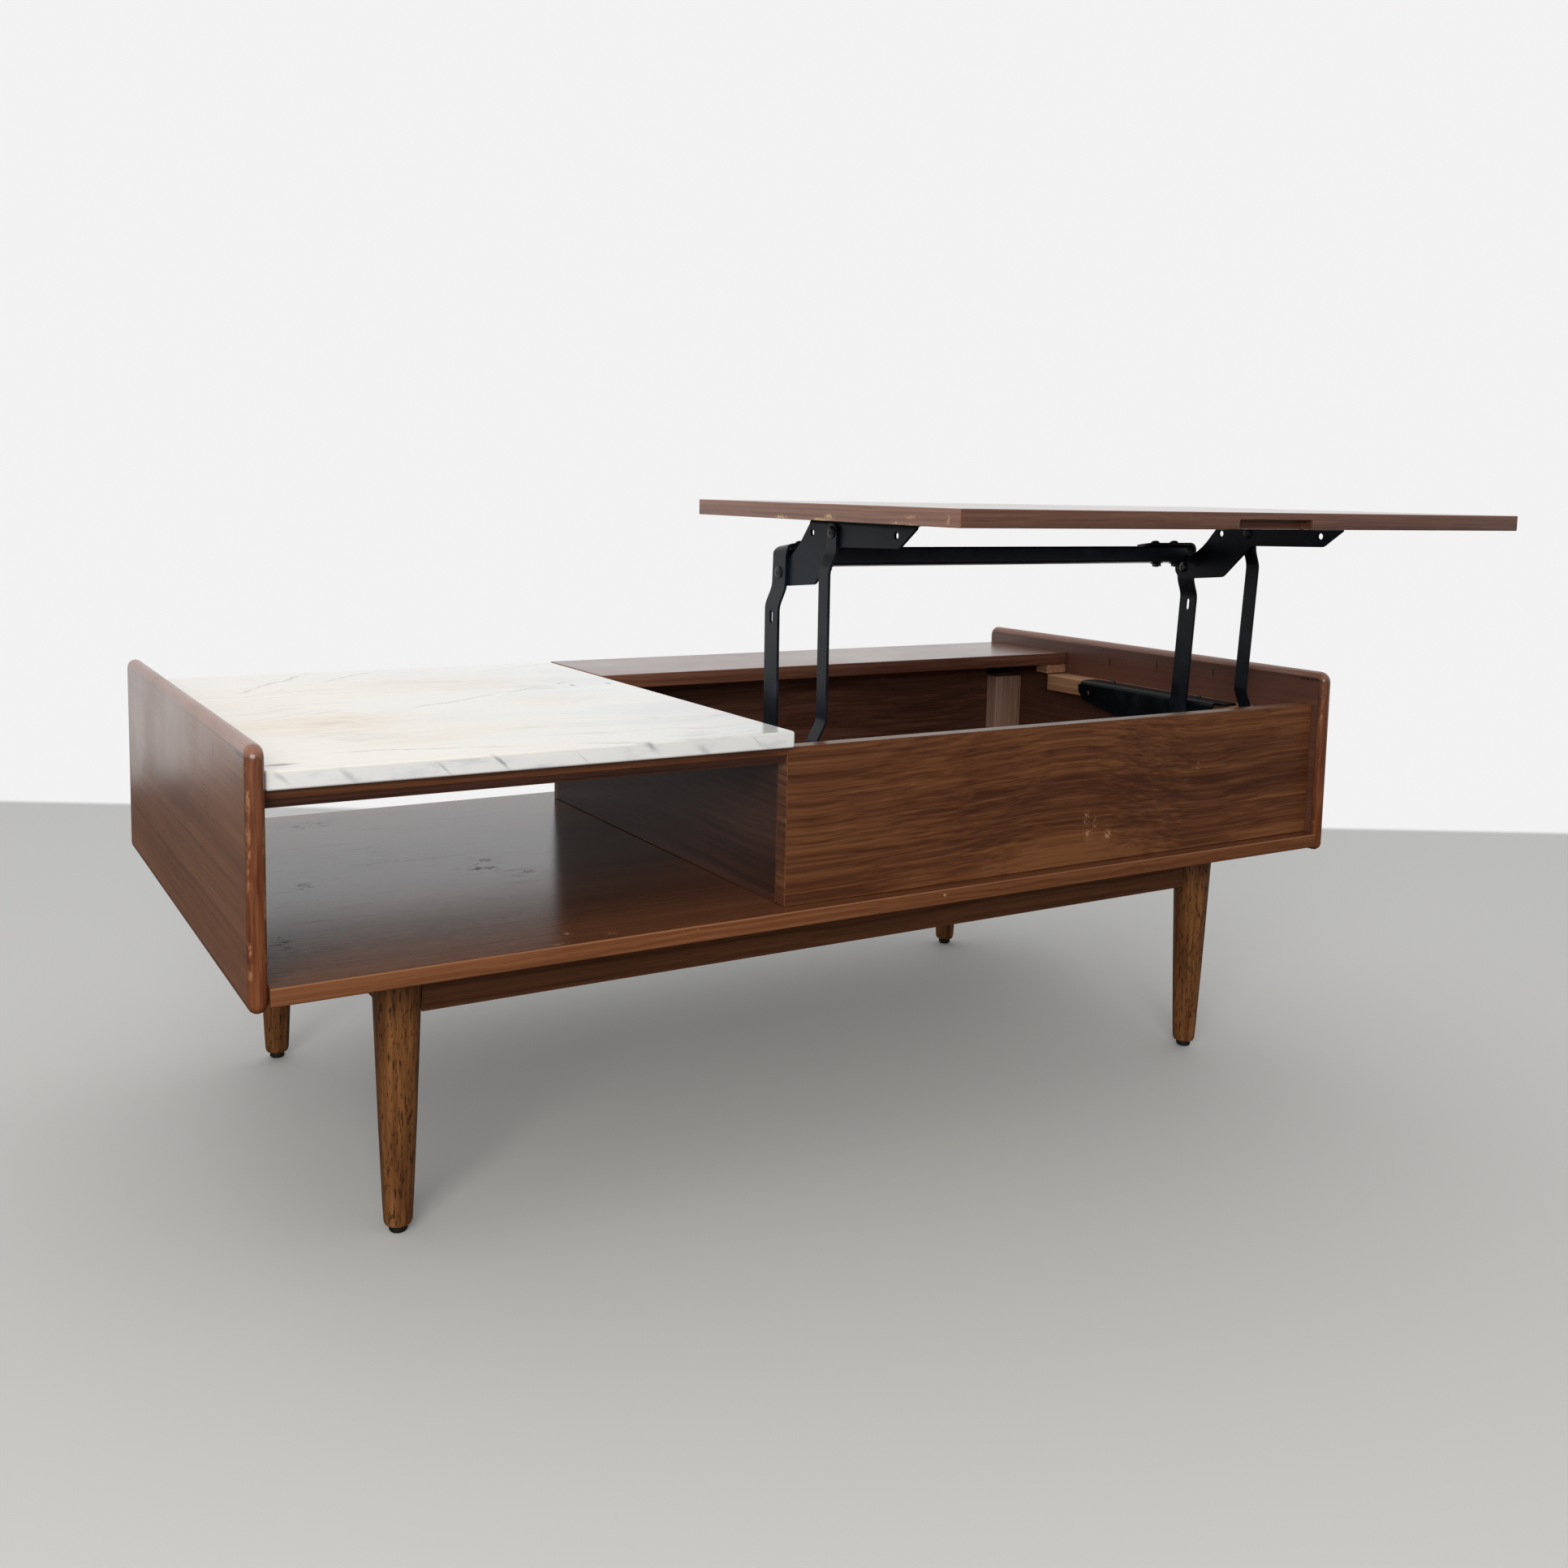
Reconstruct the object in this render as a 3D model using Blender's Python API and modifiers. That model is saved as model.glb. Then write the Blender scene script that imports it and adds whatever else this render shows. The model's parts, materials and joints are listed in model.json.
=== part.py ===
"""Lift top coffee table, at rest with its top raised. Metres, +Z up, the front faces -Y.

Shapes are laid out in table coordinates: X runs from the left end panel's outer face,
Y from the front edge of the end panels towards the back, Z up from the floor.
One root empty carries them to the row frame, whose origin is under the middle of the table.
"""

import math

import bmesh
import bpy
from mathutils import Matrix, Vector

# Fixed gap between two pieces that touch in the real table
GAP = 0.0003

# Case
LENGTH = 1.218
DEPTH = 0.6061
END_THICK = 0.0150
END_BOTTOM = 0.2393
END_TOP = 0.4491
END_TOP_CORNER = 0.012
END_LOW_CORNER = 0.008
END_EDGE_ROUND = 0.0072
BOARD_LOW = 0.2446
BOARD_HIGH = 0.2597
BOARD_FRONT = -0.001
BOARD_BACK = 0.600
INNER_RIGHT = LENGTH - END_THICK
DIVIDER_LEFT = 0.4853
DIVIDER_RIGHT = 0.5013
BOX_FRONT_FACE = 0.0157
BOX_FRONT_BACK = 0.0319
BOX_REAR_FACE = 0.5516
BOX_REAR_BACK = 0.5644
BOX_RIM = 0.4110

# Tops that don't move
TOP_FRONT = 0.0086
TOP_BACK = 0.5884
TOP_SEAM = 0.4892
MARBLE_LEFT = END_THICK + 0.001
MARBLE_LOW = 0.4113
MARBLE_HIGH = 0.4269
STRIP_FRONT = 0.4355
STRIP_HIGH = 0.4276
PACKING_LOW = 0.4040
PACKING_HIGH = 0.4108
SUB_TOP_LOW = 0.3968
PACKING_FRONT = 0.0145
SUB_TOP_FRONT = 0.0165
SUB_TOP_BACK = 0.572

# Supports inside the storage box
CLEAT_WIDTH = 0.0334
CLEAT_LOW = 0.3765
CLEAT_HIGH = 0.3982
CLEAT_FRONT = 0.100
CLEAT_BACK = 0.436
BLOCK_BACK = 0.460
BLOCK_LOW = 0.3990
POST_WIDTH = 0.0464
POST_FRONT = 0.530
POST_HIGH = 0.384
BRACE_WIDTH = 0.040
BRACE_THICK = 0.0025
BRACE_FRONT = 0.478
BRACE_LOW = 0.386
BRACE_RIGHT = 1.196

# Legs and rails
LEG_INSET_X = 0.138
LEG_FRONT_Y = 0.0805
RIGHT_FRONT_LEG = (1.0870, 0.0780)
LEG_BACK_Y = 0.5330
LEG_TOP_RADIUS = 0.0218
LEG_FOOT_RADIUS = 0.0121
LEG_FOOT = 0.0063
LEG_FOOT_ROUND = 0.004
GLIDE_RADIUS = 0.008
GLIDE_HIGH = 0.006
RAIL_LOW = 0.1955
RAIL_THICK = 0.016
RAIL_INTO_LEG = 0.012

# Lift top, given where it stands when raised
LIFT_LEFT = 0.4895
LIFT_RIGHT = 1.2018
LIFT_FRONT = -0.2231
LIFT_DEPTH = 0.4266
LIFT_LOW = 0.6205
LIFT_THICK = 0.0152
PULL_LEFT = 0.799
PULL_RIGHT = 0.893
PULL_HIGH = 0.0085
PULL_DEEP = 0.012

# Lift mechanism
CLOSED_LOW = MARBLE_LOW
RISE = LIFT_LOW - CLOSED_LOW
REACH = TOP_FRONT - LIFT_FRONT
LEAN = math.radians(2.0)
REAR_TOP = (0.1625, 0.5630)
FRONT_TOP = (0.0660, 0.6075)
# Length that carries the top by RISE and REACH on arms that lean forward by LEAN
ARM_LENGTH = (RISE**2 + REACH**2) / (2 * (RISE * math.cos(LEAN) + REACH * math.sin(LEAN)))
ARM_THICK = 0.003
REAR_ARM_WIDTH = 0.025
FRONT_ARM_WIDTH = 0.017
BOX_MIDDLE = (DIVIDER_RIGHT + INNER_RIGHT) / 2
WEB_X = 0.55175
WEB_THICK = 0.0025
# The arms' long straight part runs from the first X, low down, to the second
ARM_LOW_X = 0.5590
ARM_HIGH_X = 0.5550
ARM_TOP_X = 0.5625
ARM_OUTER_X = 0.5475
BRACKET_X = 0.5661
BRACKET_THICK = 0.003
BEND_RADIUS = 0.003
TAB_BEND_RADIUS = 0.006
PIN_RADIUS = 0.004
PIN_CLEARANCE = 0.00015
PIN_HEAD_RADIUS = 0.0062
PIN_HEAD_HIGH = 0.0020
STRAIGHT_FROM = 0.044
REAR_JOGGLE = (0.187, 0.2135)
FRONT_TOP_JOGGLE = (0.184, 0.209)
FRONT_LOW_JOGGLE = (0.013, STRAIGHT_FROM)
SLOT_AT = 0.179
SLOT_WIDTH = 0.0056
SLOT_LONG = 0.0140
TAB_UNDER = 0.2497
# The tabs and the bar under them lean back against the arms
TAB_TILT = math.radians(-11.0)
TAB_TIP_X = 0.639
BOLT_XS = (0.586, 0.617)
BOLT_RADIUS = 0.0026
BOLT_HEAD_RADIUS = 0.0055
BOLT_HEAD_HIGH = 0.0035
NUT_RADIUS = 0.0048
NUT_HIGH = 0.0050
BAR_LEFT = 0.5745
BAR_DEEP = 0.020
BAR_HIGH = 0.0190
BAR_WALL = 0.0016
BAR_CORNER = 0.0035
FLANGE_UNDER = CLEAT_HIGH + GAP
FLANGE_WIDTH = 0.030
FLANGE_FRONT = 0.106
FLANGE_BACK = 0.350
# Gap in the web that the front arm's joggle passes through as it folds down
NOTCH_FRONT = 0.0865
NOTCH_BACK = 0.120
NOTCH_LOW = 0.3720
FLANGE_SCREW_YS = (0.165, 0.315)
FLANGE_SCREW_X = 0.5285
TOP_FLANGE_WIDTH = 0.028

EDGE_STEPS = 4
ROUND_STEPS = 16
LEG_STEPS = 32
JOGGLE_STEPS = 6

MATERIALS = {
    "walnut_veneer": ((0.24, 0.12, 0.07), 0.45, 0.0),
    "walnut_edge": ((0.33, 0.17, 0.09), 0.45, 0.0),
    "walnut_inner": ((0.14, 0.075, 0.05), 0.55, 0.0),
    "marble": ((0.80, 0.77, 0.72), 0.25, 0.0),
    "raw_wood": ((0.55, 0.36, 0.22), 0.70, 0.0),
    "leg_wood": ((0.25, 0.14, 0.085), 0.50, 0.0),
    "black_steel": ((0.035, 0.038, 0.045), 0.40, 0.6),
    "black_plastic": ((0.02, 0.02, 0.02), 0.50, 0.0),
}


def clear_scene():
    for obj in list(bpy.data.objects):
        bpy.data.objects.remove(obj, do_unlink=True)


def make_materials():
    made = {}
    for name, (colour, roughness, metallic) in MATERIALS.items():
        material = bpy.data.materials.new(name)
        material.use_nodes = True
        shader = material.node_tree.nodes["Principled BSDF"]
        shader.inputs["Base Color"].default_value = (*colour, 1.0)
        shader.inputs["Roughness"].default_value = roughness
        shader.inputs["Metallic"].default_value = metallic
        made[name] = material
    return made


clear_scene()
PAINT = make_materials()
PARTS = bpy.data.collections.new("lift_top_coffee_table")
CUTTERS = bpy.data.collections.new("cutters")
bpy.context.scene.collection.children.link(PARTS)
bpy.context.scene.collection.children.link(CUTTERS)


def make_body(name, position, parent=None):
    """An empty at a body's joint, in table coordinates, and that position."""
    empty = bpy.data.objects.new(name, None)
    PARTS.objects.link(empty)
    if parent:
        empty.parent = parent[0]
        empty.location = Vector(position) - parent[1]
    return empty, Vector(position)


def new_part(name, mesh, material, body, at=(0, 0, 0), turn=(0, 0, 0)):
    """Puts a mesh into a body. at is in table coordinates."""
    obj = bpy.data.objects.new(name, mesh)
    PARTS.objects.link(obj)
    mesh.materials.append(PAINT[material])
    obj.parent = body[0]
    obj.location = Vector(at) - body[1]
    obj.rotation_euler = turn
    return obj


def mesh_from(shape, name):
    mesh = bpy.data.meshes.new(name)
    shape.to_mesh(mesh)
    shape.free()
    return mesh


def add_bevel(obj, width, segments=2):
    bevel = obj.modifiers.new("rounded_edges", "BEVEL")
    bevel.width = width
    bevel.segments = segments
    bevel.limit_method = "ANGLE"
    bevel.angle_limit = math.radians(50)


def cut(obj, cutter):
    boolean = obj.modifiers.new("cut_" + cutter.name, "BOOLEAN")
    boolean.operation = "DIFFERENCE"
    boolean.solver = "EXACT"
    boolean.object = cutter


def make_cutter(name, mesh, at=(0, 0, 0), turn=(0, 0, 0), body=None):
    cutter = bpy.data.objects.new(name, mesh)
    CUTTERS.objects.link(cutter)
    body = body or TABLE
    cutter.parent = body[0]
    cutter.location = Vector(at) - body[1]
    cutter.rotation_euler = turn
    cutter.hide_render = True
    cutter.display_type = "WIRE"
    return cutter


def box_shape(low, high):
    shape = bmesh.new()
    bmesh.ops.create_cube(shape, size=1.0)
    low, high = Vector(low), Vector(high)
    size = high - low
    middle = (low + high) / 2
    bmesh.ops.transform(shape, matrix=Matrix.Translation(middle) @ Matrix.Diagonal((*size, 1)), verts=shape.verts)
    return shape


def make_box(name, material, body, low, high, bevel=0.0, segments=2):
    obj = new_part(name, mesh_from(box_shape(low, high), name), material, body)
    if bevel:
        add_bevel(obj, bevel, segments)
    return obj


def rounded(corners, steps=3):
    """Outline points from (a, b, radius) corners, each corner an arc of that radius."""
    points = []
    for i, (a, b, radius) in enumerate(corners):
        here = Vector((a, b))
        before = Vector(corners[i - 1][:2]) - here
        after = Vector(corners[(i + 1) % len(corners)][:2]) - here
        if radius <= 0:
            points.append(here)
            continue
        before.normalize()
        after.normalize()
        half = before.angle(after) / 2
        reach = radius / math.tan(half)
        centre = here + (before + after).normalized() * (radius / math.sin(half))
        start = here + before * reach - centre
        end = here + after * reach - centre
        turn = start.angle_signed(end)
        for k in range(steps + 1):
            points.append(centre + Matrix.Rotation(-turn * k / steps, 2) @ start)
    return points


def circle(a, b, radius, steps=ROUND_STEPS):
    angles = [2 * math.pi * k / steps for k in range(steps)]
    return [Vector((a + radius * math.cos(t), b + radius * math.sin(t))) for t in angles]


def arc(a, b, radius, start, end, steps):
    """Points on an arc, in degrees counterclockwise from +a."""
    angles = [math.radians(start + (end - start) * k / steps) for k in range(steps + 1)]
    return [Vector((a + radius * math.cos(t), b + radius * math.sin(t))) for t in angles]


def capsule(length, radius, steps=6):
    """Flat bar outline with round ends centred on b = 0 and b = length."""
    return arc(0, 0, radius, 180, 360, steps) + arc(0, length, radius, 0, 180, steps)


def flat_sheet(name, outlines, thickness):
    """A sheet with its outline and holes in (a, b) and its thickness along n, centred on n = 0."""
    curve = bpy.data.curves.new(name, "CURVE")
    curve.dimensions = "2D"
    curve.fill_mode = "BOTH"
    curve.extrude = thickness / 2
    for outline in outlines:
        spline = curve.splines.new("POLY")
        spline.points.add(len(outline) - 1)
        for point, corner in zip(spline.points, outline):
            point.co = (corner[0], corner[1], 0, 1)
        spline.use_cyclic_u = True
    holder = bpy.data.objects.new(name, curve)
    CUTTERS.objects.link(holder)
    graph = bpy.context.evaluated_depsgraph_get()
    flat = bpy.data.meshes.new_from_object(holder.evaluated_get(graph))
    bpy.data.objects.remove(holder, do_unlink=True)
    shape = bmesh.new()
    shape.from_mesh(flat)
    bpy.data.meshes.remove(flat)
    bmesh.ops.remove_doubles(shape, verts=shape.verts, dist=1e-6)
    bmesh.ops.recalc_face_normals(shape, faces=shape.faces)
    return shape


def slice_at(shape, b):
    everything = shape.verts[:] + shape.edges[:] + shape.faces[:]
    bmesh.ops.bisect_plane(shape, geom=everything, dist=1e-7, plane_co=(0, b, 0), plane_no=(0, 1, 0))


def joggle(shape, start, end, shift):
    """Moves the sheet along n beyond b = end, easing over between start and end."""
    for k in range(JOGGLE_STEPS + 1):
        slice_at(shape, start + (end - start) * k / JOGGLE_STEPS)
    for corner in shape.verts:
        share = min(max((corner.co.y - start) / (end - start), 0), 1)
        corner.co.z += shift * share * share * (3 - 2 * share)


def slope(shape, start, end, shift):
    """Carries the sheet evenly along n between b = start and end, by shift in all."""
    slice_at(shape, start)
    slice_at(shape, end)
    for corner in shape.verts:
        corner.co.z += shift * min(max((corner.co.y - start) / (end - start), 0), 1)


def fold(shape, start, thickness, towards, level=0.0, radius=BEND_RADIUS, steps=4):
    """Bends the sheet square beyond b = start, towards +n or -n. level is the n of its mid plane."""
    middle = radius + thickness / 2
    length = middle * math.pi / 2
    for k in range(steps + 1):
        slice_at(shape, start + length * k / steps)
    for corner in shape.verts:
        past = corner.co.y - start
        if past <= 1e-7:
            continue
        turn = min(past, length) / middle
        rest = max(past - length, 0)
        radial = middle - (corner.co.z - level) * towards
        corner.co.y = start + radial * math.sin(turn) + rest * math.cos(turn)
        corner.co.z = level + towards * (middle - radial * math.cos(turn) + rest * math.sin(turn))


def bend_length(thickness, radius=BEND_RADIUS):
    return (radius + thickness / 2) * math.pi / 2


def tilt_tab(shape, start, level):
    """Turns the sheet about the n direction by TAB_TILT, coming in between b = start and b = level."""
    for corner in shape.verts:
        share = min(max((corner.co.y - start) / (level - start), 0), 1)
        turn = Matrix.Rotation(TAB_TILT * share, 2)
        a, b = turn @ Vector((corner.co.x, corner.co.y - level))
        if share > 0:
            corner.co.x, corner.co.y = a, b + level


def side_frame(x, y=0.0, z=0.0, lean=0.0):
    """Carries (a, b, n) to table coordinates: a back, b up and n right, leaning forward."""
    across = Vector((0, math.cos(lean), math.sin(lean)))
    along = Vector((0, -math.sin(lean), math.cos(lean)))
    right = Vector((1, 0, 0))
    frame = Matrix((across, along, right)).transposed().to_4x4()
    frame.translation = (x, y, z)
    return frame


def sides(shape, name):
    """The left mesh and its mirror image about the middle of the storage box."""
    other = shape.copy()
    for corner in other.verts:
        corner.co.x = 2 * BOX_MIDDLE - corner.co.x
    bmesh.ops.reverse_faces(other, faces=other.faces)
    return {"left": mesh_from(shape, name + "_left"), "right": mesh_from(other, name + "_right")}


def side_x(x, side):
    return x if side == "left" else 2 * BOX_MIDDLE - x


def turned(name, profile, steps=ROUND_STEPS):
    """A mesh of the profile, (radius, height) from top to bottom, for a Screw modifier."""
    mesh = bpy.data.meshes.new(name)
    points = [(radius, 0, height) for radius, height in profile]
    mesh.from_pydata(points, [(i, i + 1) for i in range(len(points) - 1)], [])
    return mesh, steps


def add_screw(obj, steps):
    screw = obj.modifiers.new("turned", "SCREW")
    screw.axis = "Z"
    screw.angle = 2 * math.pi
    screw.steps = steps
    screw.render_steps = steps
    screw.use_merge_vertices = True
    screw.merge_threshold = 0.00005
    return obj


def make_turned(name, material, body, profile, at, turn=(0, 0, 0), steps=ROUND_STEPS):
    mesh, steps = turned(name, profile, steps)
    return add_screw(new_part(name, mesh, material, body, at, turn), steps)


def leg_radius(height):
    share = (height - LEG_FOOT) / (BOARD_LOW - LEG_FOOT)
    return LEG_FOOT_RADIUS + (LEG_TOP_RADIUS - LEG_FOOT_RADIUS) * share**0.82


def leg_profile(extra=0.0):
    """Profile of a leg, grown by extra for the seat it leaves in a rail."""
    top = BOARD_LOW - GAP + (0.002 if extra else 0)
    levels = [top, 0.20, 0.15, 0.10, 0.06, 0.03, LEG_FOOT + LEG_FOOT_ROUND]
    profile = [(0, top)] + [(leg_radius(min(z, BOARD_LOW)) + extra, z) for z in levels]
    for k in (1, 2):
        turn = math.radians(45 * k)
        inset = LEG_FOOT_ROUND * (1 - math.cos(turn))
        drop = LEG_FOOT_ROUND * math.sin(turn)
        profile.append((leg_radius(levels[-1]) + extra - inset, levels[-1] - drop))
    return profile + [(0, LEG_FOOT)]


def pin_profile(grip):
    """A riveted pin with a flat dome at both ends. grip is the half length between its heads."""
    radius, head, high = PIN_RADIUS, PIN_HEAD_RADIUS, PIN_HEAD_HIGH
    upper = [
        (0, grip + high),
        (head * 0.62, grip + high),
        (head, grip + high * 0.45),
        (head, grip),
        (radius, grip),
    ]
    return upper + [(r, -h) for r, h in reversed(upper)]


def end_panel_shape(x):
    """A board from x to x + END_THICK with its whole edge rounded over."""
    rings = []
    for k in range(EDGE_STEPS + 1):
        turn = math.pi / 2 * k / EDGE_STEPS
        inset, depth = END_EDGE_ROUND * (1 - math.sin(turn)), END_EDGE_ROUND * (1 - math.cos(turn))
        rings.append((inset, x + depth))
    rings += [(inset, 2 * x + END_THICK - level) for inset, level in reversed(rings)]
    shape = bmesh.new()
    loops = []
    for inset, level in rings:
        low, top = END_LOW_CORNER - inset, END_TOP_CORNER - inset
        outline = [
            (inset, END_BOTTOM + inset, low),
            (DEPTH - inset, END_BOTTOM + inset, low),
            (DEPTH - inset, END_TOP - inset, top),
            (inset, END_TOP - inset, top),
        ]
        loops.append([shape.verts.new((level, p.x, p.y)) for p in rounded(outline, EDGE_STEPS)])
    for one, other in zip(loops, loops[1:]):
        for i in range(len(one)):
            shape.faces.new((one[i - 1], one[i], other[i], other[i - 1]))
    shape.faces.new(loops[0])
    shape.faces.new(reversed(loops[-1]))
    bmesh.ops.recalc_face_normals(shape, faces=shape.faces)
    return shape


def make_case():
    for side, x in (("left", 0), ("right", LENGTH - END_THICK)):
        name = "end_panel_" + side
        new_part(name, mesh_from(end_panel_shape(x), name), "walnut_veneer", TABLE)

    left, right = END_THICK + GAP, INNER_RIGHT - GAP
    make_box(
        "bottom_board", "walnut_veneer", TABLE, (left, BOARD_FRONT, BOARD_LOW), (right, BOARD_BACK, BOARD_HIGH), 0.0012
    )
    floor = BOARD_HIGH + GAP
    make_box(
        "divider",
        "walnut_veneer",
        TABLE,
        (DIVIDER_LEFT, BOX_FRONT_BACK + GAP, floor),
        (DIVIDER_RIGHT, BOX_REAR_FACE - GAP, BOX_RIM - GAP),
    )
    make_box(
        "box_front",
        "walnut_veneer",
        TABLE,
        (DIVIDER_LEFT, BOX_FRONT_FACE, floor),
        (right, BOX_FRONT_BACK, BOX_RIM),
        0.0008,
    )
    make_box(
        "box_back", "walnut_inner", TABLE, (DIVIDER_LEFT, BOX_REAR_FACE, floor), (right, BOX_REAR_BACK, BOX_RIM)
    )
    make_box(
        "marble_top",
        "marble",
        TABLE,
        (MARBLE_LEFT, TOP_FRONT, MARBLE_LOW),
        (TOP_SEAM, TOP_BACK, MARBLE_HIGH),
        0.0022,
        3,
    )
    make_box(
        "packing_board",
        "walnut_edge",
        TABLE,
        (left, PACKING_FRONT, PACKING_LOW),
        (DIVIDER_LEFT - GAP, SUB_TOP_BACK, PACKING_HIGH),
    )
    make_box(
        "sub_top_board",
        "walnut_inner",
        TABLE,
        (left, SUB_TOP_FRONT, SUB_TOP_LOW),
        (DIVIDER_LEFT - GAP, SUB_TOP_BACK, PACKING_LOW - GAP),
    )
    make_box(
        "rear_strip",
        "walnut_veneer",
        TABLE,
        (TOP_SEAM + GAP, STRIP_FRONT, MARBLE_LOW),
        (right, TOP_BACK, STRIP_HIGH),
        0.0010,
    )


def make_box_supports():
    wall = DIVIDER_RIGHT + GAP
    for side in ("left", "right"):
        blocks = {
            "cleat_": ("raw_wood", CLEAT_WIDTH, CLEAT_FRONT, CLEAT_BACK, CLEAT_LOW, CLEAT_HIGH),
            "strip_block_": ("raw_wood", CLEAT_WIDTH, CLEAT_BACK + GAP, BLOCK_BACK, BLOCK_LOW, BOX_RIM),
            "corner_post_": (
                "raw_wood",
                POST_WIDTH,
                POST_FRONT,
                BOX_REAR_FACE - GAP,
                BOARD_HIGH + GAP,
                POST_HIGH,
            ),
        }
        for name, (material, width, front, back, low, high) in blocks.items():
            edges = sorted((side_x(wall, side), side_x(wall + width, side)))
            make_box(name + side, material, TABLE, (edges[0], front, low), (edges[1], back, high), 0.0008, 1)

    name = "corner_brace"
    back, top, thick = BOX_REAR_FACE - GAP, BOX_RIM - GAP, BRACE_THICK
    outline = [
        (back, BRACE_LOW),
        (back, top),
        (BRACE_FRONT, top),
        (BRACE_FRONT, top - thick),
        (back - thick, top - thick),
        (back - thick, BRACE_LOW),
    ]
    shape = flat_sheet(name, [outline], BRACE_WIDTH)
    bmesh.ops.transform(shape, matrix=side_frame(BRACE_RIGHT - BRACE_WIDTH / 2), verts=shape.verts)
    new_part(name, mesh_from(shape, name), "black_steel", TABLE)


def make_legs():
    places = {
        "front_left": (LEG_INSET_X, LEG_FRONT_Y),
        "front_right": RIGHT_FRONT_LEG,
        "back_left": (LEG_INSET_X, LEG_BACK_Y),
        "back_right": (LENGTH - LEG_INSET_X, LEG_BACK_Y),
    }
    glide = [
        (0, GLIDE_HIGH),
        (GLIDE_RADIUS, GLIDE_HIGH),
        (GLIDE_RADIUS, 0.0015),
        (GLIDE_RADIUS - 0.0015, 0),
        (0, 0),
    ]
    seats = {}
    for corner, (x, y) in places.items():
        make_turned("leg_" + corner, "leg_wood", TABLE, leg_profile(), (x, y, 0), steps=LEG_STEPS)
        make_turned("glide_" + corner, "black_plastic", TABLE, glide, (x, y, 0))
        mesh, steps = turned("seat_" + corner, leg_profile(GAP), LEG_STEPS)
        seats[corner] = add_screw(make_cutter("seat_" + corner, mesh, (x, y, 0)), steps)

    top, half = BOARD_LOW - GAP, RAIL_THICK / 2
    reach = RAIL_INTO_LEG
    rails = {
        "rail_front": ("front_left", "front_right"),
        "rail_back": ("back_left", "back_right"),
        "rail_left": ("front_left", "back_left"),
        "rail_right": ("front_right", "back_right"),
    }
    for name, (first, second) in rails.items():
        x0, y0 = places[first]
        x1, y1 = places[second]
        if name in ("rail_front", "rail_back"):
            y = LEG_FRONT_Y if name == "rail_front" else LEG_BACK_Y
            low, high = (x0 + reach, y - half, RAIL_LOW), (x1 - reach, y + half, top)
        else:
            low, high = (x1 - half, y0 + reach, RAIL_LOW), (x1 + half, y1 - reach, top)
        rail = make_box(name, "walnut_edge", TABLE, low, high)
        cut(rail, seats[first])
        cut(rail, seats[second])


def make_lift_top():
    low = (LIFT_LEFT, LIFT_FRONT, LIFT_LOW)
    high = (LIFT_RIGHT, LIFT_FRONT + LIFT_DEPTH, LIFT_LOW + LIFT_THICK)
    panel = make_box("lift_panel", "walnut_veneer", LIFT, low, high)
    pull = box_shape(
        (PULL_LEFT, LIFT_FRONT - 0.010, LIFT_LOW - 0.010),
        (PULL_RIGHT, LIFT_FRONT + PULL_DEEP, LIFT_LOW + PULL_HIGH),
    )
    cutter = make_cutter("finger_pull_cutter", mesh_from(pull, "finger_pull_cutter"), body=LIFT)
    add_bevel(cutter, 0.002, 2)
    cut(panel, cutter)
    add_bevel(panel, 0.0010, 2)


def make_top_brackets():
    name = "top_bracket"
    fold_at = LIFT_LOW - GAP - BRACKET_THICK - BEND_RADIUS
    end = fold_at + bend_length(BRACKET_THICK) + TOP_FLANGE_WIDTH - BEND_RADIUS - BRACKET_THICK
    front = [(-0.0640, fold_at, 0), (-0.0390, 0.5960, 0.006), (0.0600, 0.5930, 0.012), (0.1012, 0.5545, 0.010)]
    lobe = arc(*REAR_TOP, 0.0145, -110, 122, 8)
    rear = [(0.1450, 0.5810, 0.006), (0.1350, 0.5885, 0.006), (0.1280, 0.5950, 0.004), (0.1115, fold_at, 0)]
    upper = [(0.1115, end, 0.006), (-0.0640, end, 0.006)]
    corners = front + [(p.x, p.y, 0) for p in lobe] + rear + upper
    holes = [
        circle(*REAR_TOP, PIN_RADIUS + PIN_CLEARANCE),
        circle(*FRONT_TOP, PIN_RADIUS + PIN_CLEARANCE),
        circle(0.1065, 0.6057, 0.0036, 12),
        circle(-0.0350, 0.6077, 0.0036, 12),
    ]
    shape = flat_sheet(name, [rounded(corners)] + holes, BRACKET_THICK)
    fold(shape, fold_at, BRACKET_THICK, 1)
    bmesh.ops.transform(shape, matrix=side_frame(BRACKET_X), verts=shape.verts)
    for side, mesh in sides(shape, name).items():
        new_part(name + "_" + side, mesh, "black_steel", LIFT)


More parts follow.
